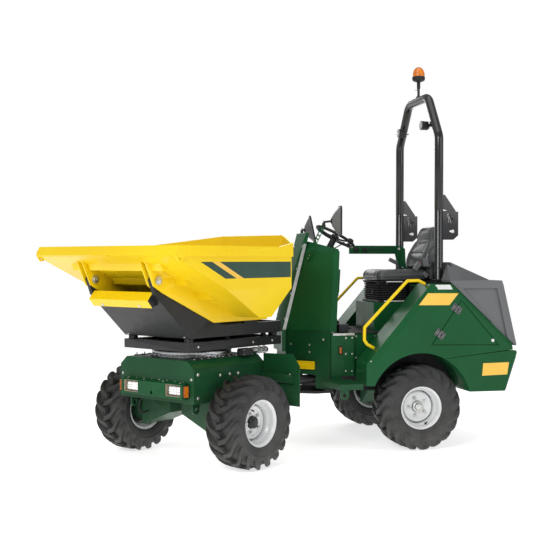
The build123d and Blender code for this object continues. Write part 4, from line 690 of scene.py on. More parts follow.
motor = Shape()
motor.lathe([(0, 0), (0.018, 0.0), (0.0215, 0.002), (0.0225, 0.01), (0.0225, 0.018), (0.0265, 0.02),
    (0.0265, 0.034), (0.0245, 0.036), (0.0245, 0.068), (0.0265, 0.07), (0.0265, 0.084), (0.0245, 0.087),
    (0.0245, 0.125), (0.0265, 0.128), (0.0265, 0.142), (0.0255, 0.144), (0.0255, 0.186), (0, 0.186)], 36,
    place=turned_to((0.455, 0.328, 0.795), (1, 0, 0)))
motor.become("slew_motor_case", "front", steel, bevel=0.0004)
gearbox = Shape()
gearbox.prism([(0.641, 0.7675), (0.759, 0.7675), (0.759, 0.808), (0.748, 0.819), (0.652, 0.819),
    (0.641, 0.808)], (0.301, 0.361))
gearbox.lathe([(0, -0.002), (0.024, -0.002), (0.024, 0.0), (0.021, 0.0005), (0.0, 0.0005)], 30,
    place=turned_to((0.7, 0.3615, 0.795), (0, 1, 0)))
gearbox.become("slew_gearbox", "front", cast, bevel=0.0025, replaces=("slew_drive",))
motor_bolts = Shape()
for x in (0.652, 0.748):
    for z in (0.776, 0.811):
        motor_bolts.bolt((x, 0.3608, z), (0, 1, 0), 0.0042, kind="hex")
for x in (0.5, 0.56):
    motor_bolts.lathe([(0, 0), (0.0085, 0), (0.0085, 0.006), (0.006, 0.007), (0.006, 0.012), (0, 0.012)],
        6, place=turned_to((x, 0.338, 0.8165), (0, 0.35, 1)))
motor_bolts.become("slew_motor_fittings", "front", zinc)

# ---------------------------------------------------------------- light bar
HEADLIGHT_Y, HEADLIGHT_Z, DIODE_PITCH = 0.217, 0.555, 0.017
TRAY, TRAY_LOW, TRAY_TOP, TRAY_WALL = 0.0755, 0.5145, 0.5995, 0.004    # half width, floor, top, wall
TRAY_SIDES = ((-TRAY, TRAY_WALL - TRAY, TRAY_LOW, TRAY_TOP), (TRAY - TRAY_WALL, TRAY, TRAY_LOW, TRAY_TOP),
    (-TRAY, TRAY, TRAY_LOW, TRAY_LOW + TRAY_WALL), (-TRAY, TRAY, TRAY_TOP - TRAY_WALL, TRAY_TOP))
trays, reflectors, lenses, diodes = Shape(), Shape(), Shape(), Shape()
for side in SIDES:
    y0 = side * HEADLIGHT_Y
    trays.slab((1.2925, y0 - TRAY, TRAY_LOW), (1.2965, y0 + TRAY, TRAY_TOP), "yz")
    for low_y, high_y, low_z, high_z in TRAY_SIDES:
        trays.slab((1.2955, y0 + low_y, low_z), (1.331, y0 + high_y, high_z), "yz")
    outline = ring_outline(0.058, 0.031, 0.012, 32, phase=0)
    reflectors.prism([(y0 + y, HEADLIGHT_Z + z) for y, z in outline], (1.296, 1.3105), "yz")
    inner = [(y0 + y * 0.95, HEADLIGHT_Z + z * 0.92) for y, z in outline]
    lenses.prism(inner, (1.3085, 1.3175), "yz")
    for row in range(3):
        for column in range(6):
            y, z = y0 + (column - 2.5) * DIODE_PITCH, HEADLIGHT_Z + (row - 1) * DIODE_PITCH
            diodes.lathe([(0, 0), (0.0075, 0), (0.0065, 0.0022), (0.0032, 0.004), (0, 0.0044)], 8,
                place=turned_to((1.3104, y, z), (1, 0, 0)))
lamp_tan = finish("lamp_tray", (0.42, 0.36, 0.26), (0.3, 0.25, 0.18), (0.3, 0.45), patch=20, grain=300)
trays.become("headlight_trays", "front", lamp_tan, bevel=0.0006, replaces=("front_lamps",))
reflectors.become("headlight_bodies", "front", reflector, slot="lamp_lens", bevel=0.0012)
diodes.become("headlight_diodes", "front", lit)
lenses.become("headlight_lenses", "front", clear, bevel=0.001)
shells, lamps = Shape(), Shape()
for side in SIDES:
    shells.slab((1.289, side * 0.3165, 0.512), (1.3325, side * 0.3215, 0.6))
    for low, high in ((0.512, 0.5165), (0.5955, 0.6)):
        shells.slab((1.289, side * 0.3165, low), (1.3325, side * 0.3415, high))
    shells.slab((1.289, side * 0.3165, 0.512), (1.3, side * 0.3395, 0.6))
    for k in range(9):
        low = 0.5172 + k * 0.0087
        lamps.prism([(1.3, low), (1.3265, low), (1.3318, low + 0.0022), (1.3318, low + 0.0062),
            (1.3265, low + 0.0084), (1.3, low + 0.0084)], (side * 0.322, side * 0.341))
shells.become("side_lamp_shells", "front", black_plastic, bevel=0.0008)
lamps.become("side_lamp_lenses", "front", amber, bevel=0.0005)

front_bolts = Shape()
for side in SIDES:
    for x, z in ((1.25, 0.672), (1.25, 0.508), (1.02, 0.649), (0.92, 0.649), (0.83, 0.649)):
        front_bolts.bolt((x, side * (0.3832 if x > 1.066 else 0.3802), z), (0, side, 0), 0.009,
            kind="dome washer")
    front_bolts.bolt((0.565, side * 0.6475, 0.6345), (0, 0, 1), 0.007)
    front_bolts.bolt((1.287, side * 0.355, 0.64), (1, 0, 0), 0.007, kind="dome washer")
    for y in (0.1, 0.27):
        front_bolts.bolt((1.3125, side * y, 0.6118), (0.27, 0, 0.96), 0.0055, kind="dome washer")
for k in range(8):
    front_bolts.bolt((1.2935, -0.28 + k * 0.08, 0.617), (0.27, 0, 0.96), 0.0042, kind="dome")
front_bolts.become("front_frame_bolts", "front", zinc)
seams = Shape()
for side in SIDES:
    seams.slab((0.6, side * 0.3795, 0.7095), (1.275, side * 0.3815, 0.708))
seams.become("front_weld_seams", "front", green_low, bevel=0.0004)

# rigid brake pipe under the nose
lines = Shape()
lines.tube(rounded([(1.2, -0.2, 0.48), (1.235, -0.235, 0.44), (1.22, -0.262, 0.37), (1.16, -0.285, 0.33),
    (1.08, -0.3, 0.345)], 0.05), 0.0055, 10)
lines.become("front_brake_line", "front", black_plastic)

# ---------------------------------------------------------------- console: edge strip with painted highlight, latches, bolts


def console_front(z):
    """The x of the console's front face at a height."""
    return -0.0743 - 0.1814 * (z - 0.905) / 0.72


# silver strip along the console's front edges: partly a real ribbed strip, partly a painted highlight of
# the light that the edge catches
strip = Shape()
for side in SIDES:
    strip.prism([(console_front(0.912) + 0.001, 0.912), (console_front(0.912) + 0.0275, 0.912),
        (console_front(1.6) + 0.0275, 1.6), (console_front(1.6) + 0.001, 1.6)],
        (side * 0.1499, side * 0.1508))
silver_strip_and_highlight = finish("ribbed_strip_and_painted_highlight", (0.5, 0.52, 0.51), (0.38, 0.4, 0.39), (0.3, 0.42), metallic=0.7,
    patch=30, ribs=(55, "DIAGONAL"), bump=0.5, depth=0.0012)
strip.become("console_edge_strip_and_painted_highlight", "rear", silver_strip_and_highlight, bevel=0.0003)
cover_bolts = Shape()
for side in SIDES:
    for z in (0.8, 1.0, 1.2, 1.4, 1.58):
        x = console_front(max(z, 0.905)) + 0.0275
        cover_bolts.bolt((x, side * 0.128, z), (0.97, 0, 0.245 if z > 0.9 else 0), 0.0058,
            kind="dome washer")
    for share, z in ((0.12, 0.8), (0.55, 0.8), (0.55, 0.742), (0.02, 0.7), (0.86, 0.845), (0.86, 0.5)):
        run = Vector((-0.2877, 0.262, 0))
        spot = Vector((-0.0743, 0.15, z)) + run * share
        cover_bolts.bolt((spot.x, side * spot.y, z), (0.673, side * 0.739, 0), 0.006, kind="dome washer")
cover_bolts.become("console_bolts", "rear", zinc)

latches = Shape()
for y in (-0.3, -0.15, 0.15, 0.3):
    x = -0.455
    latches.slab((x - 0.0065, y - 0.016, 1.437), (x + 0.0005, y + 0.016, 1.475))
    latches.slab((x - 0.013, y - 0.01, 1.443), (x - 0.006, y + 0.01, 1.469))
latches.become("hatch_latches", "rear", black_plastic, bevel=0.0018)

# ---------------------------------------------------------------- mirrors
arms, clamps, heads, rims, glasses, stems = Shape(), Shape(), Shape(), Shape(), Shape(), Shape()
# side, centre of the glass, the way that it faces, top of the arm
MIRRORS = ((1, (-0.462, 0.383, 1.777), (-0.987, 0.162, 0), (-0.338, 0.334, 1.742)),
    (-1, (-0.449, -0.383, 1.735), (-0.957, 0.203, 0.208), (-0.338, -0.334, 1.705)))
# half width, half height, corner radius and depth of each section through the head and its rim
MIRROR_HEAD = ((0.079, 0.115, 0.026, 0.0005), (0.0815, 0.1175, 0.028, -0.0015),
    (0.0815, 0.1175, 0.028, -0.007), (0.0775, 0.113, 0.027, -0.0095), (0.07, 0.102, 0.026, -0.018),
    (0.05, 0.074, 0.02, -0.041), (0.028, 0.042, 0.012, -0.064), (0.022, 0.034, 0.01, -0.069))
MIRROR_RIM = ((0.074, 0.11, 0.024, 0.0018), (0.0795, 0.1155, 0.027, 0.0026), (0.083, 0.119, 0.029, 0.0),
    (0.083, 0.119, 0.029, -0.0095), (0.078, 0.114, 0.027, -0.0105))
for side, centre, facing, arm_top in MIRRORS:
    high = Vector(arm_top)
    low = Vector((-0.232, side * 0.18, high.z - 0.292))
    low = low + (high - low) * 0.1
    rise = (high - low).normalized()
    across = Vector((-0.79, -side * 0.61, 0)).cross(rise).normalized()
    depth = rise.cross(across)
    place = basis(across, rise, depth, low)
    arms.at(place)
    length = (high - low).length
    edge = 0.0165
    foot, top, face = -0.015, length + 0.014, 0.0025
    for width, back in ((0.005, -0.0025), (0.0022, -0.006)):
        for rail in SIDES:
            arms.slab((rail * edge, foot, back), (rail * (edge - width), top, face))
    for k in range(10):
        rung = foot + k * length / 9.5
        arms.slab((0.004 - edge, rung, -face), (edge - 0.004, rung + 0.012, face))
    for along in (0.006, 0.032):
        stems.bolt(place @ Vector((0, along, 0.0025)), depth, 0.0048, kind="hex")
    head_place = Vector(centre)
    facing = Vector(facing).normalized()
    wide = Vector((0, 0, 1)).cross(facing).normalized()
    for shape in (heads, rims, glasses):
        shape.at(basis(wide, facing.cross(wide), facing, head_place))
    for shape, sections, hoop in ((heads, MIRROR_HEAD, False), (rims, MIRROR_RIM, True)):
        skin_rings(shape, [[(x, y, level) for x, y in ring_outline(half_x, half_y, corner, 32)]
            for half_x, half_y, corner, level in sections], hoop)
    glasses.prism(ring_outline(0.074, 0.11, 0.024, 32), (0.0, 0.0016), "xy")
    joint = head_place + facing * -0.066
    clamps.tube(rounded([high + Vector((0, 0, 0.012)), high + Vector((-0.004, side * 0.004, 0.028)),
        joint], 0.02), 0.0085, 12)
    clamps.lathe([(0, -0.008), (0.021, -0.008), (0.022, -0.005), (0.022, 0.004), (0.019, 0.007),
        (0.01, 0.009), (0, 0.009)], 24, place=turned_to(joint - facing * 0.004, -facing))
    clamps.lathe([(0, -0.012), (0.0125, -0.012), (0.0125, 0.026), (0, 0.026)], 20,
        place=Matrix.Translation(high + Vector((0, 0, -0.004))))
    stems.tube([high + Vector((0, 0, -0.016)), high + Vector((0, 0, 0.04))], 0.0065, 12)
arms.become("mirror_arms", "rear", green, bevel=0.0008, replaces=("mirrors",))
clamps.become("mirror_clamps", "rear", black_plastic, bevel=0.0008)
shell_grey = finish("mirror_shell", (0.155, 0.16, 0.165), (0.13, 0.135, 0.14), (0.34, 0.46), patch=6,
    cells=700, bump=0.15, depth=0.0003)
heads.become("mirror_heads", "rear", shell_grey, smooth=24)
rims.become("mirror_rims", "rear", black_plastic, smooth=30)
glasses.become("mirror_glasses", "rear", mirror_glass)
stems.become("mirror_stems", "rear", zinc, bevel=0.0005)

# ---------------------------------------------------------------- steering wheel and column
spin = joints["steering_wheel_spin"]
axis = Vector(spin["axis"]).normalized()
if axis.z < 0:
    axis = -axis
sideways = Vector((0, 1, 0))
ahead = sideways.cross(axis).normalized()
wheel_place = basis(ahead, sideways, axis, Vector(spin["pos_m"]))
RING = 0.168
grip = Shape()
ring_points = [(RING * cos(2 * pi * k / 96), RING * sin(2 * pi * k / 96), 0) for k in range(96)]
radii = [0.0125 - 0.0007 * (k % 8 == 0) for k in range(96)]
grip.tube(ring_points, radii, 18, closed=True)
spokes = Shape()
for k in range(3):
    turn = 2 * pi * k / 3
    spokes.at(Matrix.Rotation(turn, 4, "Z"))
    spokes.tube(rounded([(0.02, 0, -0.01), (0.07, 0, -0.014), (0.12, 0, -0.01), (RING, 0, 0)], 0.03),
        [0.015, 0.0145, 0.014, 0.0135, 0.013, 0.0125, 0.012, 0.0115, 0.011, 0.0105, 0.01, 0.01], 10,
        flat=0.42)
spokes.at(HOME)
spokes.lathe([(0, -0.02), (0.03, -0.02), (0.034, -0.014), (0.034, 0.004), (0.031, 0.009), (0.024, 0.0115),
    (0.022, 0.0098), (0.0, 0.0105)], 40)
knob = Shape()
knob.at(Matrix.Translation((-RING * 0.9, -RING * 0.43, 0)))
knob.lathe([(0, 0.008), (0.016, 0.008), (0.017, 0.012), (0.013, 0.018), (0.0125, 0.024), (0.0205, 0.032),
    (0.0262, 0.042), (0.0265, 0.051), (0.0225, 0.06), (0.012, 0.065), (0, 0.0655)], 32)
knob.lathe([(0.0128, -0.0135), (0.0165, -0.011), (0.0165, 0.011), (0.0128, 0.0135)], 20, closed=True)
grip.become("steering_ring", "steering_wheel", black_plastic, place=wheel_place,
    replaces=("steering_wheel",))
spokes.become("steering_spokes", "steering_wheel", black_plastic, place=wheel_place, bevel=0.0006)
knob.become("steering_knob", "steering_wheel", black_plastic, place=wheel_place)

levers = Shape()
base_point = Vector((-0.4905, 0, 1.571))
for side, reach in ((1, 0.15), (-1, 0.12)):
    start = base_point + Vector((-0.006, side * 0.04, -0.012))
    tip = start + Vector((-0.045, side * reach, 0.045))
    levers.tube(rounded([start, start + Vector((-0.01, side * 0.05, 0.01)), tip], 0.03), 0.0045, 10)
    levers.lathe([(0, -0.014), (0.008, -0.012), (0.0115, 0.0), (0.0105, 0.012), (0.006, 0.018),
        (0, 0.019)], 20, place=turned_to(tip, (tip - start)))
levers.become("column_levers", "rear", black_plastic)
panel = Shape()
panel.prism([(-0.467, 1.5575), (-0.507, 1.5695), (-0.5085, 1.564), (-0.4685, 1.552)], (-0.0445, 0.0445))
panel.become("column_display", "rear", black_gloss, bevel=0.0015)

# ---------------------------------------------------------------- platform: mat, edge, panels, lamps
mat = Shape()
mat.slab((-0.784, -0.425, 0.8952), (-0.566, 0.425, 0.899))
mat.slab((-1.11, 0.245, 0.8952), (-0.784, 0.4, 0.899))
mat.slab((-1.11, -0.4, 0.8952), (-0.784, -0.245, 0.899))
for row in range(9):
    for column in range(18):
        mat.slab((-0.776 + row * 0.0235, -0.418 + column * 0.0472, 0.8988),
            (-0.7625 + row * 0.0235, -0.386 + column * 0.0472, 0.9005))
mat.become("floor_mat", "rear", mat_rubber, bevel=0.0008)
trim = Shape()
for side in SIDES:
    trim.prism([(side * 0.4362, 0.88), (side * 0.4375, 0.88), (side * 0.4375, 0.8965),
        (side * 0.427, 0.8965), (side * 0.427, 0.8952), (side * 0.4362, 0.8952)], (-0.56, -0.385), "yz")
trim.become("platform_edge_strips", "rear", zinc)
panels = Shape()
for side in SIDES:
    panels.prism([(-0.566, 0.68), (-0.63, 0.68), (-0.7, 0.72), (-0.76, 0.8), (-0.76, 0.885),
        (-0.566, 0.885)], (side * 0.4063, side * 0.4085))
    panels.slab((-0.48, side * 0.4363, 0.585), (-0.552, side * 0.438, 0.875))
panels.become("platform_access_panels", "rear", green, bevel=0.0008)
panel_bolts = Shape()
for side in SIDES:
    for z in (0.6, 0.735, 0.86):
        for x in (-0.49, -0.542):
            panel_bolts.bolt((x, side * 0.438, z), (0, side, 0), 0.0055, kind="dome washer")
    for x, z in ((-0.585, 0.87), (-0.74, 0.87), (-0.585, 0.7), (-0.74, 0.815)):
        panel_bolts.bolt((x, side * 0.4085, z), (0, side, 0), 0.005, kind="dome washer")
panel_bolts.become("platform_bolts", "rear", zinc)
markers, shells = Shape(), Shape()
for side in SIDES:
    for x0, x1, z0, z1 in ((-0.455, -0.43, 0.735, 0.74), (-0.455, -0.43, 0.79, 0.795),
            (-0.455, -0.4515, 0.735, 0.795), (-0.4335, -0.43, 0.735, 0.795)):
        shells.slab((x0, side * 0.4362, z0), (x1, side * 0.4515, z1), "xz")
    shells.slab((-0.455, side * 0.4362, 0.735), (-0.43, side * 0.44, 0.795), "xz")
    for k in range(6):
        low = 0.7405 + k * 0.0082
        markers.prism([(side * 0.4395, low), (side * 0.448, low), (side * 0.4512, low + 0.002),
            (side * 0.4512, low + 0.006), (side * 0.448, low + 0.008), (side * 0.4395, low + 0.008)],
            (-0.4515, -0.4335), "yz")
shells.become("marker_shells", "rear", black_plastic, bevel=0.0005, replaces=("marker_lamps",))
markers.become("marker_lenses", "rear", amber, bevel=0.0004)
grips = Shape()
for y in (-0.17, 0.17):
    for k in range(6):
        t = k / 5
        x, z = -0.535 + 0.062 * t, 0.911 + 0.096 * t
        grips.prism([(x - 0.004, z + 0.0015), (x + 0.002, z + 0.0085), (x - 0.0005, z + 0.0105),
            (x - 0.0065, z + 0.0035)], (y - 0.038, y + 0.038))
grips.become("pedal_grips", "rear", rubber, bevel=0.0006)
valve_block = Shape()
valve_block.slab((-0.545, 0.235, 0.8965), (-0.465, 0.335, 0.96))
for k in range(4):
    valve_block.lathe([(0, -0.002), (0.01, -0.002), (0.01, 0.01), (0.0075, 0.012), (0.0075, 0.024),
        (0, 0.024)], 20, place=turned_to((-0.5455, 0.25 + k * 0.024, 0.928), (-1, 0, 0)))
valve_block.become("floor_valve_block", "rear", cast, bevel=0.0015)

# ---------------------------------------------------------------- steps
treads = Shape()
for side in SIDES:
    for row in range(9):
        for column in range(11):
            x = -0.352 - row * 0.0205
            y = side * (0.452 + column * 0.027)
            turn = 0.7 if (row + column) % 2 else -0.7
            treads.at(Matrix.Translation((x, y, 0.5349)) @ Matrix.Rotation(turn, 4, "Z"))
            treads.prism([(-0.0088, 0), (-0.005, -0.0022), (0.005, -0.0022), (0.0088, 0), (0.005, 0.0022),
                (-0.005, 0.0022)], (0, 0.0014), "xy")
treads.at(HOME)
treads.become("step_treads", "rear", green)

# ---------------------------------------------------------------- seat


CLOTH_VOXEL, CLOTH_CAP, CLOTH_FRAMES = 0.006, 0.007, 20
SEAM_WIDTH, SEAM_DEPTH, SEAM_FALL = 0.008, 0.0055, 2.718


def stuffed(piece, seams):
    """Blows a closed form up as cloth under pressure, held down along its seams."""
    remesh = piece.modifiers.new("Voxels", "REMESH")
    remesh.mode = "VOXEL"
    remesh.voxel_size = CLOTH_VOXEL
    bpy.context.view_layer.update()
    graph = bpy.context.evaluated_depsgraph_get()
    piece.data = bpy.data.meshes.new_from_object(piece.evaluated_get(graph))
    piece.modifiers.clear()
    held = piece.vertex_groups.new(name="held")
    for vertex in piece.data.vertices:
        near = min(seam(vertex.co) for seam in seams)
        hold = SEAM_FALL ** (-(near / SEAM_WIDTH) ** 2)
        vertex.co -= vertex.normal * SEAM_DEPTH * hold
        held.add([vertex.index], min(1.0, 1.3 * hold), "REPLACE")
    start = [vertex.co.copy() for vertex in piece.data.vertices]
    cloth = piece.modifiers.new("Cloth", "CLOTH")
    for key, value in (("quality", 4), ("mass", 0.4), ("tension_stiffness", 12),
            ("compression_stiffness", 12), ("bending_stiffness", 1.2), ("use_pressure", True),
            ("uniform_pressure_force", 4), ("vertex_group_mass", "held")):
        setattr(cloth.settings, key, value)
    cloth.settings.effector_weights.gravity = 0
    cloth.point_cache.frame_end = CLOTH_FRAMES
    for frame_number in range(1, CLOTH_FRAMES + 1):
        bpy.context.scene.frame_set(frame_number)
    blown = piece.evaluated_get(bpy.context.evaluated_depsgraph_get()).data
    moved = [vertex.co.copy() for vertex in blown.vertices]
    piece.modifiers.clear()
    bpy.context.scene.frame_set(1)
    for vertex, before, after in zip(piece.data.vertices, start, moved):
        step = after - before
        vertex.co = before + step * min(1.0, CLOTH_CAP / max(step.length, 1e-9))
    work = bmesh.new()
    work.from_mesh(piece.data)
    for turn in range(2):
        bmesh.ops.smooth_vert(work, verts=work.verts, factor=0.5, use_axis_x=True, use_axis_y=True,
            use_axis_z=True)
    work.to_mesh(piece.data)
    work.free()
    fine = piece.modifiers.new("Fine", "SUBSURF")
    fine.levels = fine.render_levels = 1
    piece.data.shade_smooth()


CUSHION_X, CUSHION_LOW, CUSHION_TOP = -1.047, 1.303, 1.393
CUSHION_HALF_X, CUSHION_HALF_Y = 0.222, 0.23
rings = []
for z, inset in ((CUSHION_LOW, 0.02), (CUSHION_LOW + 0.006, 0.008), (CUSHION_LOW + 0.026, 0.005),
        (CUSHION_LOW + 0.046, 0.006), (CUSHION_LOW + 0.064, 0.011), (CUSHION_TOP - 0.01, 0.022),
        (CUSHION_TOP - 0.002, 0.04)):
    outline = ring_outline(CUSHION_HALF_X - inset, CUSHION_HALF_Y - inset, 0.062)
    rings.append([(CUSHION_X + x, y, z) for x, y in outline])
cushion = Shape()
skin_rings(cushion, rings)
cushion = cushion.become("seat_cushion_pad", "rear", vinyl, place=HOME, replaces=("seat_cushion",))


def cushion_sag(point):
    """How far the sitting area lies under the bolsters at a place."""
    x, y = (point.x - CUSHION_X) / CUSHION_HALF_X, point.y / CUSHION_HALF_Y
    middle = max(0.0, 1 - (abs(y) / 0.62) ** 4) * max(0.0, 1 - (abs(x - 0.08) / 0.85) ** 4)
    return 0.012 * middle


TOP_SEAM, BACK_SEAM = 0.134, 0.138    # y of the seams along the cushion and up the backrest
FAR = 0.05    # added to a seam's distance where the seam doesn't run


def below_top(point):
    """Whether a point of the cushion lies under its sitting face."""
    return point.z < CUSHION_TOP - 0.03


cushion_seams = (
    lambda p: abs(abs(p.y) - TOP_SEAM) + FAR * (below_top(p) and p.x < CUSHION_X),
    lambda p: abs(p.x - (CUSHION_X + 0.055)) + FAR * (abs(p.y) > TOP_SEAM or below_top(p)),
    lambda p: abs(p.x - (CUSHION_X - 0.075)) + FAR * (abs(p.y) > TOP_SEAM or below_top(p)),
    lambda p: abs(p.z - (CUSHION_LOW + 0.018)),
)
stuffed(cushion, cushion_seams)
for vertex in cushion.data.vertices:
    if vertex.co.z > CUSHION_TOP - 0.035:
        vertex.co.z -= cushion_sag(vertex.co)

# front line, back line and half width of the backrest's pad, from its foot to the headrest's top
BACK = ((1.309, -1.276, -1.325, 0.214), (1.35, -1.276, -1.328, 0.217), (1.396, -1.272, -1.33, 0.218),
    (1.414, -1.217, -1.332, 0.218), (1.44, -1.214, -1.333, 0.219), (1.474, -1.219, -1.338, 0.219),
    (1.53, -1.239, -1.356, 0.219), (1.57, -1.26, -1.375, 0.211), (1.606, -1.279, -1.388, 0.192),
    (1.632, -1.291, -1.395, 0.168), (1.642, -1.298, -1.398, 0.16), (1.656, -1.296, -1.4, 0.163),
    (1.694, -1.304, -1.405, 0.152), (1.728, -1.322, -1.401, 0.14), (1.744, -1.338, -1.394, 0.122),
    (1.749, -1.352, -1.386, 0.1))
rings = []
for z, front, back, half in BACK:
    ring = []
    for k in range(64):
        turn = 2 * pi * (k + 0.5) / 64
        cx, cy = cos(turn), sin(turn)
        x = (abs(cx) ** 0.42) * (1 if cx > 0 else -1)
        y = (abs(cy) ** 0.5) * (1 if cy > 0 else -1)
        shelf = 0.013 if abs(y) < 0.62 and cx > 0 and 1.41 < z < 1.63 else 0.0
        ring.append(((front + back) / 2 + x * ((front - back) / 2) * 0.985 - shelf, y * half, z))
    rings.append(ring)
back_pad = Shape()
skin_rings(back_pad, rings)
back_pad = back_pad.become("seat_back_pad", "rear", vinyl, place=HOME, replaces=("seat_backrest",))
back_seams = (
    lambda p: (abs(abs(p.y) - BACK_SEAM + max(0, p.z - 1.55) * 0.3)
               + FAR * (p.x < -1.33 or p.z > 1.635)),
    lambda p: abs(p.z - 1.64 - (p.x + 1.3) * -0.15),
    lambda p: abs(p.z - 1.5275) + FAR * (abs(p.y) > BACK_SEAM or p.x < -1.33),
    lambda p: abs(p.x + 1.345 + max(0, p.z - 1.45) * 0.25) + FAR * (p.z < 1.42 or p.z > 1.63),
)
stuffed(back_pad, back_seams)
for pad in (cushion, back_pad):
    pad.data.transform(REAR)

piping = Shape()
outline = ring_outline(0.2175, 0.2255, 0.062, 72)
piping.tube([(CUSHION_X + x, y, CUSHION_LOW + 0.0185) for x, y in outline], 0.0028, 8, closed=True)
for side in SIDES:
    piping.tube(rounded([(-1.3352, side * 0.214, 1.425), (-1.34, side * 0.215, 1.474),
        (-1.361, side * 0.215, 1.54), (-1.382, side * 0.195, 1.6), (-1.393, side * 0.163, 1.636)], 0.03),
        0.003, 8)
piping.become("seat_piping", "rear", finish("piping", (0.1, 0.1, 0.105), (0.07, 0.07, 0.074), (0.3, 0.4),
    patch=20, grain=600))
shell = Shape()
shell_rings = []
for z, back, half in ((1.42, -1.334, 0.19), (1.474, -1.34, 0.196), (1.53, -1.359, 0.196),
        (1.59, -1.385, 0.176), (1.64, -1.4005, 0.14), (1.69, -1.407, 0.122)):
    shell_rings.append([(back + 0.01, -half, z), (back - 0.001, -half * 0.94, z),
        (back - 0.005, -half * 0.5, z), (back - 0.005, half * 0.5, z), (back - 0.001, half * 0.94, z),
        (back + 0.01, half, z)])
skin_rings(shell, shell_rings)
shell.become("seat_back_shell", "rear", black_plastic, bevel=0.001)

# ---------------------------------------------------------------- seat suspension, belt and levers
bellows = Shape()
rings = []
FOLDS = 7
for k in range(FOLDS * 8 + 1):
    share = k / (FOLDS * 8)
    wave = 0.5 - 0.5 * cos(2 * pi * share * FOLDS)
    half = 0.1185 + 0.0145 * wave ** 0.7
    rings.append([(-0.973 + x, y, 1.144 + share * 0.133) for x, y in ring_outline(half, half + 0.076,
        0.038)])
skin_rings(bellows, rings)
bellows.become("seat_bellows", "rear", rubber, smooth=60, replaces=("seat_suspension",))
slides = Shape()
slides.slab((-1.105, -0.214, 1.1255), (-0.839, 0.214, 1.143))
slides.slab((-1.1055, -0.2145, 1.13), (-0.8385, 0.2145, 1.1345))
for side in SIDES:
    slides.slab((-1.325, side * 0.175 - 0.02, 1.278), (-0.845, side * 0.175 + 0.02, 1.287))
slides.become("seat_slides", "rear", black, bevel=0.0015)
pan = Shape()
rings = [[(-1.0825 + x, y, z) for x, y in ring_outline(0.247 - inset, 0.2245 - inset, 0.04)] for z,
    inset in ((1.2865, 0.014), (1.2885, 0.004), (1.292, 0.0), (1.2985, 0.0), (1.2998, 0.003))]
skin_rings(pan, rings)
pan.become("seat_pan", "rear", black_plastic, bevel=0.001)
plate = Shape()
plate.slab((-1.04, 0.224, 1.2902), (-0.9, 0.2252, 1.2978))
plate.slab((-1.06, 0.2135, 1.132), (-0.885, 0.215, 1.1405))
plate.become("seat_blank_strips", "rear", white_plastic_and_painted_highlight, bevel=0.0003)
knobs = Shape()
knobs.lathe([(0, -0.006), (0.0084, -0.006), (0.0084, 0.0), (0.014, 0.002), (0.014, 0.01),
    (0.0112, 0.0118), (0, 0.0118)], 20, place=turned_to((-0.905, 0.213, 1.279), (0, 1, 0)))
knobs.lathe([(0, -0.014), (0.012, -0.014), (0.02, -0.01), (0.022, -0.004), (0.021, 0.0), (0.016, 0.003),
    (0, 0.003)], 20, place=turned_to((-0.8385, 0.06, 1.21), (1, 0, 0)))
knobs.become("seat_knobs", "rear", black_plastic, bevel=0.0008)
belt = Shape()


def boxed(shape, centre, along, half_long, half_high, half_wide):
    """A block whose length lies along a direction in the side view."""
    along = Vector(along).normalized()
    up = Vector((-along.z, 0, along.x))
    shape.at(basis(along, Vector((0, 1, 0)), up, centre))
    shape.slab((-half_long, -half_wide, -half_high), (half_long, half_wide, half_high))
    shape.at(HOME)


boxed(belt, (-1.172, 0.204, 1.417), (-0.56, 0, 0.8), 0.036, 0.021, 0.013)
boxed(belt, (-1.243, 0.208, 1.35), (0.75, 0, 0.55), 0.024, 0.018, 0.01)
boxed(belt, (-1.255, 0.208, 1.452), (0.05, 0, 1.0), 0.034, 0.027, 0.012)
boxed(belt, (-1.117, -0.21, 1.46), (-0.9, 0, -0.42), 0.04, 0.016, 0.012)
belt.become("belt_buckles", "rear", shell_grey, bevel=0.004, segments=3)
webbing = Shape()
for side, route in ((1, [(-1.238, 1.322), (-1.215, 1.362), (-1.19, 1.398)]),
        (-1, [(-1.24, 1.322), (-1.212, 1.38), (-1.16, 1.44)])):
    points = [Vector((x, side * 0.2085, z)) for x, z in route]
    outer = [(p.x - 0.012, p.z - 0.01) for p in points]
    inner = [(p.x + 0.014, p.z + 0.004) for p in points]
    webbing.prism(outer + inner[::-1], (side * 0.207, side * 0.2092))
webbing.become("belt_webbing", "rear", finish("webbing", (0.03, 0.03, 0.032), (0.022, 0.022, 0.023),
    (0.6, 0.75), patch=12, ribs=(420, "X"), bump=0.4, depth=0.0006), bevel=0.0003)
slot_red = Shape()
boxed(slot_red, (-1.19, 0.204, 1.447), (-0.56, 0, 0.8), 0.005, 0.01, 0.0095)
slot_red.become("buckle_button", "rear", red_lens, bevel=0.001)

# ---------------------------------------------------------------- guard bar beside the seat
guard = Shape()
for x in (-0.837, -0.917):
    guard.lathe([(0, -0.031), (0.0206, -0.031), (0.0206, 0.0165), (0.0185, 0.02), (0.013, 0.0212),
        (0, 0.0212)], 28, place=turned_to((x, -0.386, 1.56), (0, 1, 0)))
guard.become("guard_knobs", "rear", black_plastic, bevel=0.0008)
guard_slot = Shape()
guard_slot.slab((-1.11, -0.3862, 1.5595), (-0.95, -0.385, 1.565))
for x in (-1.004, -0.976, -1.178):
    guard_slot.slab((x - 0.002, -0.3862, 1.5255), (x + 0.002, -0.3852, 1.5945))
guard_slot.become("guard_lines", "rear", black)
guard_bolts = Shape()
guard_bolts.bolt((-1.229, -0.374, 1.568), (0, 1, 0), 0.0075, kind="dome washer")
guard_bolts.bolt((-1.262, -0.374, 1.4), (0, 1, 0), 0.0075)
guard_bolts.become("guard_bar_bolts", "rear", zinc)

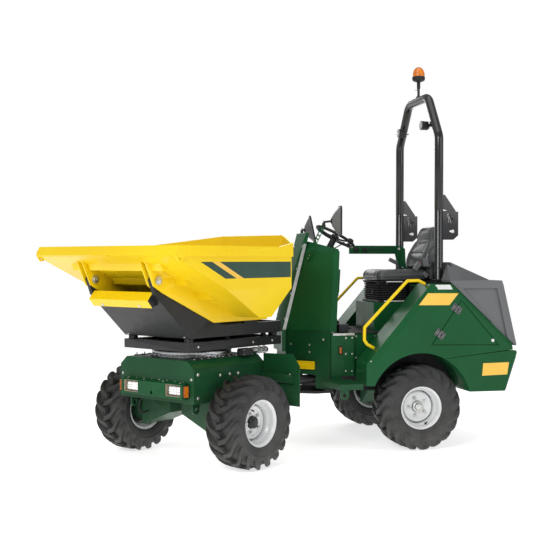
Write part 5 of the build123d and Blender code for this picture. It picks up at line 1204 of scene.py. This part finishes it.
# ---------------------------------------------------------------- roll bar
ROPS_X, ROPS_Y, BRACKET = -1.263, 0.442, 0.022    # posts, and half the thickness of their brackets
EYE_Z, EYE_SMALL, EYE_LARGE = 1.7, 0.006, 0.013
eye = [(-1.3505 + EYE_SMALL * cos(t * pi / 6), EYE_Z + EYE_SMALL * sin(t * pi / 6)) for t in range(-3, 4)]
eye += [(-1.3735 - EYE_LARGE * cos(t * pi / 8), EYE_Z - EYE_LARGE * sin(t * pi / 8)) for t in range(-4, 5)]
collars, foot_bolts, clips, holes = Shape(), Shape(), Shape(), Shape()
for side in SIDES:
    collars.lathe([(0.0, 0.011), (0.0405, 0.011), (0.0375, 0.016), (0.0355, 0.019), (0.0, 0.019)], 40,
        place=Matrix.Translation((ROPS_X, side * ROPS_Y, 1.301)))
    collars.lathe([(0.0, 1.8675), (0.0338, 1.8675), (0.0338, 1.8737), (0.0, 1.8737)], 40,
        place=Matrix.Translation((ROPS_X, side * ROPS_Y, 0)))
    collars.slab((-1.332, side * ROPS_Y - 0.0138, 1.845), (-1.29, side * ROPS_Y + 0.0138, 1.864))
    for dx in (-0.028, 0.034):
        for dy in (-0.038, 0.038):
            foot_bolts.bolt((ROPS_X + dx, side * ROPS_Y + dy, 1.313), (0, 0, 1), 0.0075)
    for face in SIDES:
        wall = side * ROPS_Y + face * BRACKET
        out = Vector((0, face, 0))
        foot_bolts.bolt((-1.375, wall + face * 0.004, 1.8), out, 0.0105, kind="hex")
        foot_bolts.bolt((-1.347, wall, 1.822), out, 0.012, kind="dome")
    front = side * ROPS_Y + 0.0225
    clips.tube(rounded([(-1.333, front + 0.001, 1.848), (-1.329, front + 0.006, 1.842),
        (-1.345, front + 0.007, 1.8), (-1.352, front + 0.004, 1.772), (-1.358, front + 0.004, 1.762)],
        0.01), 0.0024, 8)
    clips.tube(rounded([(-1.329, front + 0.005, 1.842), (-1.326, front + 0.004, 1.83),
        (-1.338, front + 0.003, 1.8), (-1.333, front + 0.003, 1.768)], 0.01), 0.0024, 8)
    for face in SIDES:
        wall = side * ROPS_Y + face * (BRACKET + 0.0001)
        holes.prism(eye, (wall - 0.0004, wall + 0.0004))
collars.become("roll_bar_collars", "rear", black_gloss, slot="paint_black")
foot_bolts.become("roll_bar_bolts", "rear", cast, slot="steel")
clips.become("roll_bar_clips", "rear", steel)
holes.become("roll_bar_plate_eyes", "rear", white_plastic_and_painted_highlight)

lamps, lamp_lenses, lamp_faces = Shape(), Shape(), Shape()
for side in SIDES:
    lamp_place = turned_to((-1.244, side * 0.262, 2.565), (1, 0, 0))
    lamps.at(lamp_place)
    lamps.lathe([(0, 0.0), (0.02, 0.0), (0.03, 0.006), (0.0345, 0.018), (0.0352, 0.04), (0.0365, 0.0415),
        (0.0365, 0.062), (0.0345, 0.0635), (0.0318, 0.063), (0.031, 0.052), (0.0, 0.046)], 40)
    for k in range(9):
        lamps.at(lamp_place @ Matrix.Rotation(2 * pi * k / 9 - 0.4, 4, "Z"))
        lamps.slab((0.026, -0.0011, 0.003), (0.0362, 0.0011, 0.034))
    lamps.at(HOME)
    lamps.prism([(-1.25, 2.553), (-1.232, 2.553), (-1.226, 2.577), (-1.244, 2.577)],
        (side * 0.29, side * 0.3015))
    lamps.prism([(-1.248, 2.541), (-1.228, 2.541), (-1.235, 2.55)], (side * 0.262, side * 0.3))
    lamp_faces.at(lamp_place)
    lamp_faces.lathe([(0.0312, 0.06), (0.026, 0.054), (0.014, 0.0495), (0, 0.0488)], 40)
    lamp_lenses.at(lamp_place)
    lamp_lenses.lathe([(0, 0.06), (0.0314, 0.059), (0.0314, 0.0615), (0.02, 0.0628), (0, 0.0634)], 40)
lamps.become("work_lamp_shells", "roll_bar", black_plastic, bevel=0.0006, replaces=("rops_lamps",))
lamp_faces.become("work_lamp_reflectors", "roll_bar", reflector)
lamp_lenses.become("work_lamp_lenses", "roll_bar", clear)
BEACON = (
    ("beacon_base", black_plastic, 48,
     [[(0, 2.962), (0.016, 2.962), (0.02, 2.968), (0.036, 2.97), (0.05, 2.978), (0.0535, 2.99),
       (0.0538, 3.006), (0.052, 3.0085), (0, 3.0085)]]),
    ("beacon_dome", beacon_amber, 48,
     [[(0.05, 3.006), (0.0515, 3.02), (0.0505, 3.034), (0.047, 3.05), (0.041, 3.064), (0.033, 3.0755),
       (0.023, 3.0845), (0.012, 3.0895), (0.0, 3.091)]]),
    ("beacon_rotor", reflector, 36,
     [[(0.0, 3.01), (0.031, 3.01), (0.033, 3.014), (0.033, 3.026), (0.028, 3.032), (0.0, 3.034)]]),
    ("beacon_pole", black, 24,
     [[(0, 2.836), (0.0105, 2.838), (0.0105, 2.9), (0.0105, 2.905), (0.0148, 2.91), (0.0148, 2.958),
       (0.012, 2.963), (0, 2.963)],
      [(0, 2.8345), (0.022, 2.8345), (0.02, 2.842), (0.0125, 2.849), (0, 2.849)]]),
)
for label, look, steps, profiles in BEACON:
    shape = Shape().at(Matrix.Translation((ROPS_X, 0, 0)))
    for profile in profiles:
        shape.lathe(profile, steps)
    shape.become(label, "roll_bar", look)
wing = Shape()
wing.tube([(ROPS_X + 0.008, 0, 2.895), (ROPS_X + 0.026, 0, 2.897)], 0.0038, 10)
wing.prism([(ROPS_X + 0.02, 2.892), (ROPS_X + 0.034, 2.888), (ROPS_X + 0.038, 2.894),
    (ROPS_X + 0.028, 2.899), (ROPS_X + 0.036, 2.906), (ROPS_X + 0.03, 2.91), (ROPS_X + 0.02, 2.903)],
    (-0.0022, 0.0022))
wing.become("beacon_wing_screw", "roll_bar", zinc)

# ---------------------------------------------------------------- side bodies: door lock, plates, bolts
lock = Shape()
lock.lathe([(0, -0.002), (0.0126, -0.002), (0.0126, 0.0062), (0.0108, 0.0076), (0.0052, 0.0076),
    (0.0048, 0.0066), (0, 0.0066)], 28, place=turned_to((-1.59, 0.74, 0.845), (0, 1, 0)))
lock.become("charge_door_lock", "charge_door", white_plastic_and_painted_highlight)
fixed_leaves, moving_leaves, leaf_screws, moving_screws = Shape(), Shape(), Shape(), Shape()
FOOT, HEAD = Vector((-1.091, 0.749, 0.822)), Vector((-1.33, 0.749, 1.154))
LEAF, LEAF_BACK, LEAF_FACE, KNUCKLE = 0.0285, -0.0093, -0.0034, 0.0084
hinge_axis = (HEAD - FOOT).normalized()
for share in (0.24, 0.82):
    spot = FOOT.lerp(HEAD, share)
    place = basis(hinge_axis, Vector((0, 1, 0)).cross(hinge_axis), Vector((0, 1, 0)), spot)
    turned = place @ Matrix.Rotation(radians(90), 4, "Y")
    fixed_leaves.at(place)
    fixed_leaves.slab((-LEAF, 0.0095, LEAF_BACK), (LEAF, 0.0385, LEAF_FACE))
    for low, high in ((-LEAF, -0.014), (0.014, LEAF)):
        fixed_leaves.slab((low, 0.0, LEAF_BACK), (high, 0.0165, LEAF_FACE))
        fixed_leaves.at(turned)
        fixed_leaves.lathe([(0, low), (KNUCKLE, low), (KNUCKLE, high), (0, high)], 20)
        fixed_leaves.at(place)
    moving_leaves.at(place)
    moving_leaves.slab((-0.0132, -0.02, LEAF_BACK), (0.0132, 0.0, LEAF_FACE))
    moving_leaves.slab((-LEAF, -0.0405, -0.0087), (LEAF, -0.0105, LEAF_FACE))
    moving_leaves.at(turned)
    moving_leaves.lathe([(0, -0.013), (KNUCKLE, -0.013), (KNUCKLE, 0.013), (0, 0.013)], 20)
    for x in (-0.018, 0.018):
        leaf_screws.bolt(place @ Vector((x, 0.027, -0.0036)), (0, 1, 0), 0.0048, kind="dome")
        moving_screws.bolt(place @ Vector((x, -0.027, -0.0036)), (0, 1, 0), 0.0048, kind="dome")
hinge_zinc = finish("hinge_zinc", (0.15, 0.152, 0.155), (0.11, 0.112, 0.115), (0.45, 0.6), metallic=0.3,
    patch=12, grain=500)
fixed_leaves.become("door_hinge_fixed_leaves", "rear", hinge_zinc, bevel=0.0006)
moving_leaves.become("door_hinge_moving_leaves", "charge_door", hinge_zinc, bevel=0.0006)
leaf_screws.become("door_hinge_screws", "rear", black_plastic)
moving_screws.become("door_hinge_moving_screws", "charge_door", black_plastic)
# painted shade: a near-black, matt sheet on the bulkhead at the back of the footwell stands in for the
# shade there
shade_sheet = Shape()
shade_sheet.slab((-1.1149, -0.438, 0.896), (-1.1125, 0.438, 1.26))
shade_sheet.become("bulkhead_painted_shade", "rear", finish("bulkhead_painted_shade", (0.02, 0.021, 0.021),
    (0.012, 0.012, 0.013), (0.8, 0.95), patch=6, grain=200, bump=0.3, shine=0.05),
    bevel=0.0006)
SKIN_Y = 0.74
side_plate, bumper_plate = Shape(), Shape()
for side in SIDES:
    span = (side * (SKIN_Y - 0.0004), side * (SKIN_Y + 0.0008))
    side_plate.prism([(-0.977, 1.125), (-1.228, 1.123), (-1.304, 1.214), (-1.051, 1.216)], span)
    bumper_plate.prism([(-1.511, 0.668), (-1.502, 0.571), (-1.714, 0.576), (-1.73, 0.671)], span)
side_plate.become("side_blank_plates", "rear", decal_tan, bevel=0.0003)
bumper_plate.become("bumper_blank_plates", "rear", decal_tan, bevel=0.0003)
body_bolts = Shape()
for side in SIDES:
    for x, z in ((-0.6, 0.56), (-0.6, 0.7), (-1.195, 1.268), (-1.12, 1.268)):
        body_bolts.bolt((x, side * 0.7235, z), (0, side, 0), 0.0065, kind="dome washer")
body_bolts.become("side_body_bolts", "rear", zinc)
AXLE_X, AXLE_Z, LINER_RADIUS = -1.0, 0.345, 0.428
feet = Shape()
for side in SIDES:
    for turn in range(7):
        angle = radians(28 + turn * 20.5)
        x, z = AXLE_X + LINER_RADIUS * cos(angle), AXLE_Z + LINER_RADIUS * sin(angle)
        feet.bolt((x, side * 0.4142, z), (0, side, 0), 0.0068)
feet.become("arch_liner_bolts", "rear", zinc)

# ---------------------------------------------------------------- rear face: lamps, plate, louvres; strips of painted reflection and painted highlight


def on_slope(low, high, y, share, out=0.0):
    """A place on a face that leans in the side view, its local Z looking out to the rear."""
    low, high = Vector((low[0], 0, low[1])), Vector((high[0], 0, high[1]))
    up = (high - low).normalized()
    normal = Vector((-up.z, 0, up.x))
    spot = low.lerp(high, share) + Vector((0, y, 0)) + normal * out
    return basis(Vector((0, -1, 0)), up, normal, spot)


BUMPER_FACE = ((-1.744, 0.448), (-1.828, 0.7))
HOOD_FACE = ((-1.806, 0.806), (-1.694, 1.276))
trays, reds, ambers, number_plate = Shape(), Shape(), Shape(), Shape()
for side in SIDES:
    place = on_slope(*BUMPER_FACE, side * 0.535, 0.5)
    trays.at(place)
    trays.slab((-0.088, -0.042, -0.004), (0.088, 0.042, 0.006))
    for x in (-0.08, 0.08):
        trays.bolt((x, 0, 0.006), (0, 0, 1), 0.003, kind="dome")
    for shape, start, end in ((reds, -0.072, 0.012), (ambers, 0.016, 0.072)):
        low, high = sorted((start * side, end * side))
        shape.at(place)
        shape.slab((low, -0.036, 0.005), (high, 0.036, 0.011))
        for k in range(7):
            rib = -0.033 + k * 0.0095
            shape.slab((low + 0.003, rib, 0.01), (high - 0.003, rib + 0.0065, 0.0125))
trays.become("tail_lamp_trays", "rear", black_plastic, bevel=0.002)
reds.become("tail_lamp_red", "rear", red_lens, bevel=0.0008)
ambers.become("tail_lamp_amber", "rear", amber, bevel=0.0008)
number_plate.at(on_slope(*BUMPER_FACE, 0.0, 0.5))
number_plate.slab((-0.15, -0.055, 0.0), (0.15, 0.055, 0.0025))
number_plate.become("blank_rear_plate", "rear", white_plastic_and_painted_highlight, bevel=0.001)
louvres = Shape()
for side in SIDES:
    louvres.at(on_slope(*HOOD_FACE, side * 0.33, 0.56))
    louvres.slab((-0.15, -0.092, -0.002), (0.15, 0.092, 0.0015))
    for k in range(8):
        low = -0.08 + k * 0.0215
        louvres.prism([(low, 0.0005), (low + 0.014, 0.0085), (low + 0.0165, 0.0075),
            (low + 0.0045, 0.0005)], (-0.138, 0.138), "yz")
louvres.become("hood_louvres", "hood", black_plastic, bevel=0.0006)
hood_latch = Shape()
hood_latch.at(on_slope(*HOOD_FACE, 0.0, 0.88))
hood_latch.slab((-0.055, -0.02, -0.001), (0.055, 0.02, 0.004))
hood_latch.slab((-0.042, -0.01, 0.003), (0.042, 0.006, 0.0115))
hood_latch.at(on_slope(*HOOD_FACE, 0.085, 0.88))
hood_latch.lathe([(0, -0.001), (0.012, -0.001), (0.012, 0.005), (0.0105, 0.0065), (0, 0.0065)], 24)
hood_latch.become("hood_latch", "hood", black_plastic, bevel=0.0015)
THIN = [(0, 1, 2, 3), (4, 5, 6, 7)] + [(k, (k + 1) % 4, 4 + (k + 1) % 4, 4 + k) for k in range(4)]
# painted reflection: grey strips on the bumper's rear chamfers stand in for the light that the chamfer
# faces reflect
chamfer_reflection_strips = Shape()
corner_foot, corner_rise = Vector((-1.695, 0.74, 0.449)), Vector((-0.09, 0, 0.266))
corner_run = Vector((-0.049, -0.08, 0))
corner_out = corner_run.cross(corner_rise).normalized()
for side in SIDES:
    verts = []
    for lift in (0.0, 0.001):
        for share, height in ((0.06, 0.03), (0.88, 0.03), (0.88, 0.94), (0.06, 0.94)):
            point = corner_foot + corner_run * share + corner_rise * height + corner_out * lift
            verts.append((point.x, side * point.y, point.z))
    chamfer_reflection_strips.add(verts, THIN)
corner_painted_reflection = finish("corner_painted_reflection", (0.27, 0.29, 0.285), (0.22, 0.24, 0.235), (0.4, 0.5), patch=12,
    grain=500)
chamfer_reflection_strips.become("bumper_corner_painted_reflections", "rear", corner_painted_reflection)
# painted highlight: thin white strips on the side bodies' top bevels stand in for the light that the
# bevels catch
top_highlight_strips = Shape()
for side in SIDES:
    corners = [(-1.12, 1.2795, 0.7245), (-1.24, 1.2795, 0.7245), (-1.255, 1.244, 0.7387),
        (-1.135, 1.244, 0.7387)]
    verts = [(x, side * (y + lift), z + lift * 0.4) for lift in (0.0, 0.0012) for x, z, y in corners]
    top_highlight_strips.add(verts, THIN)
top_highlight_strips.become("side_top_painted_highlights", "rear", white_plastic_and_painted_highlight)
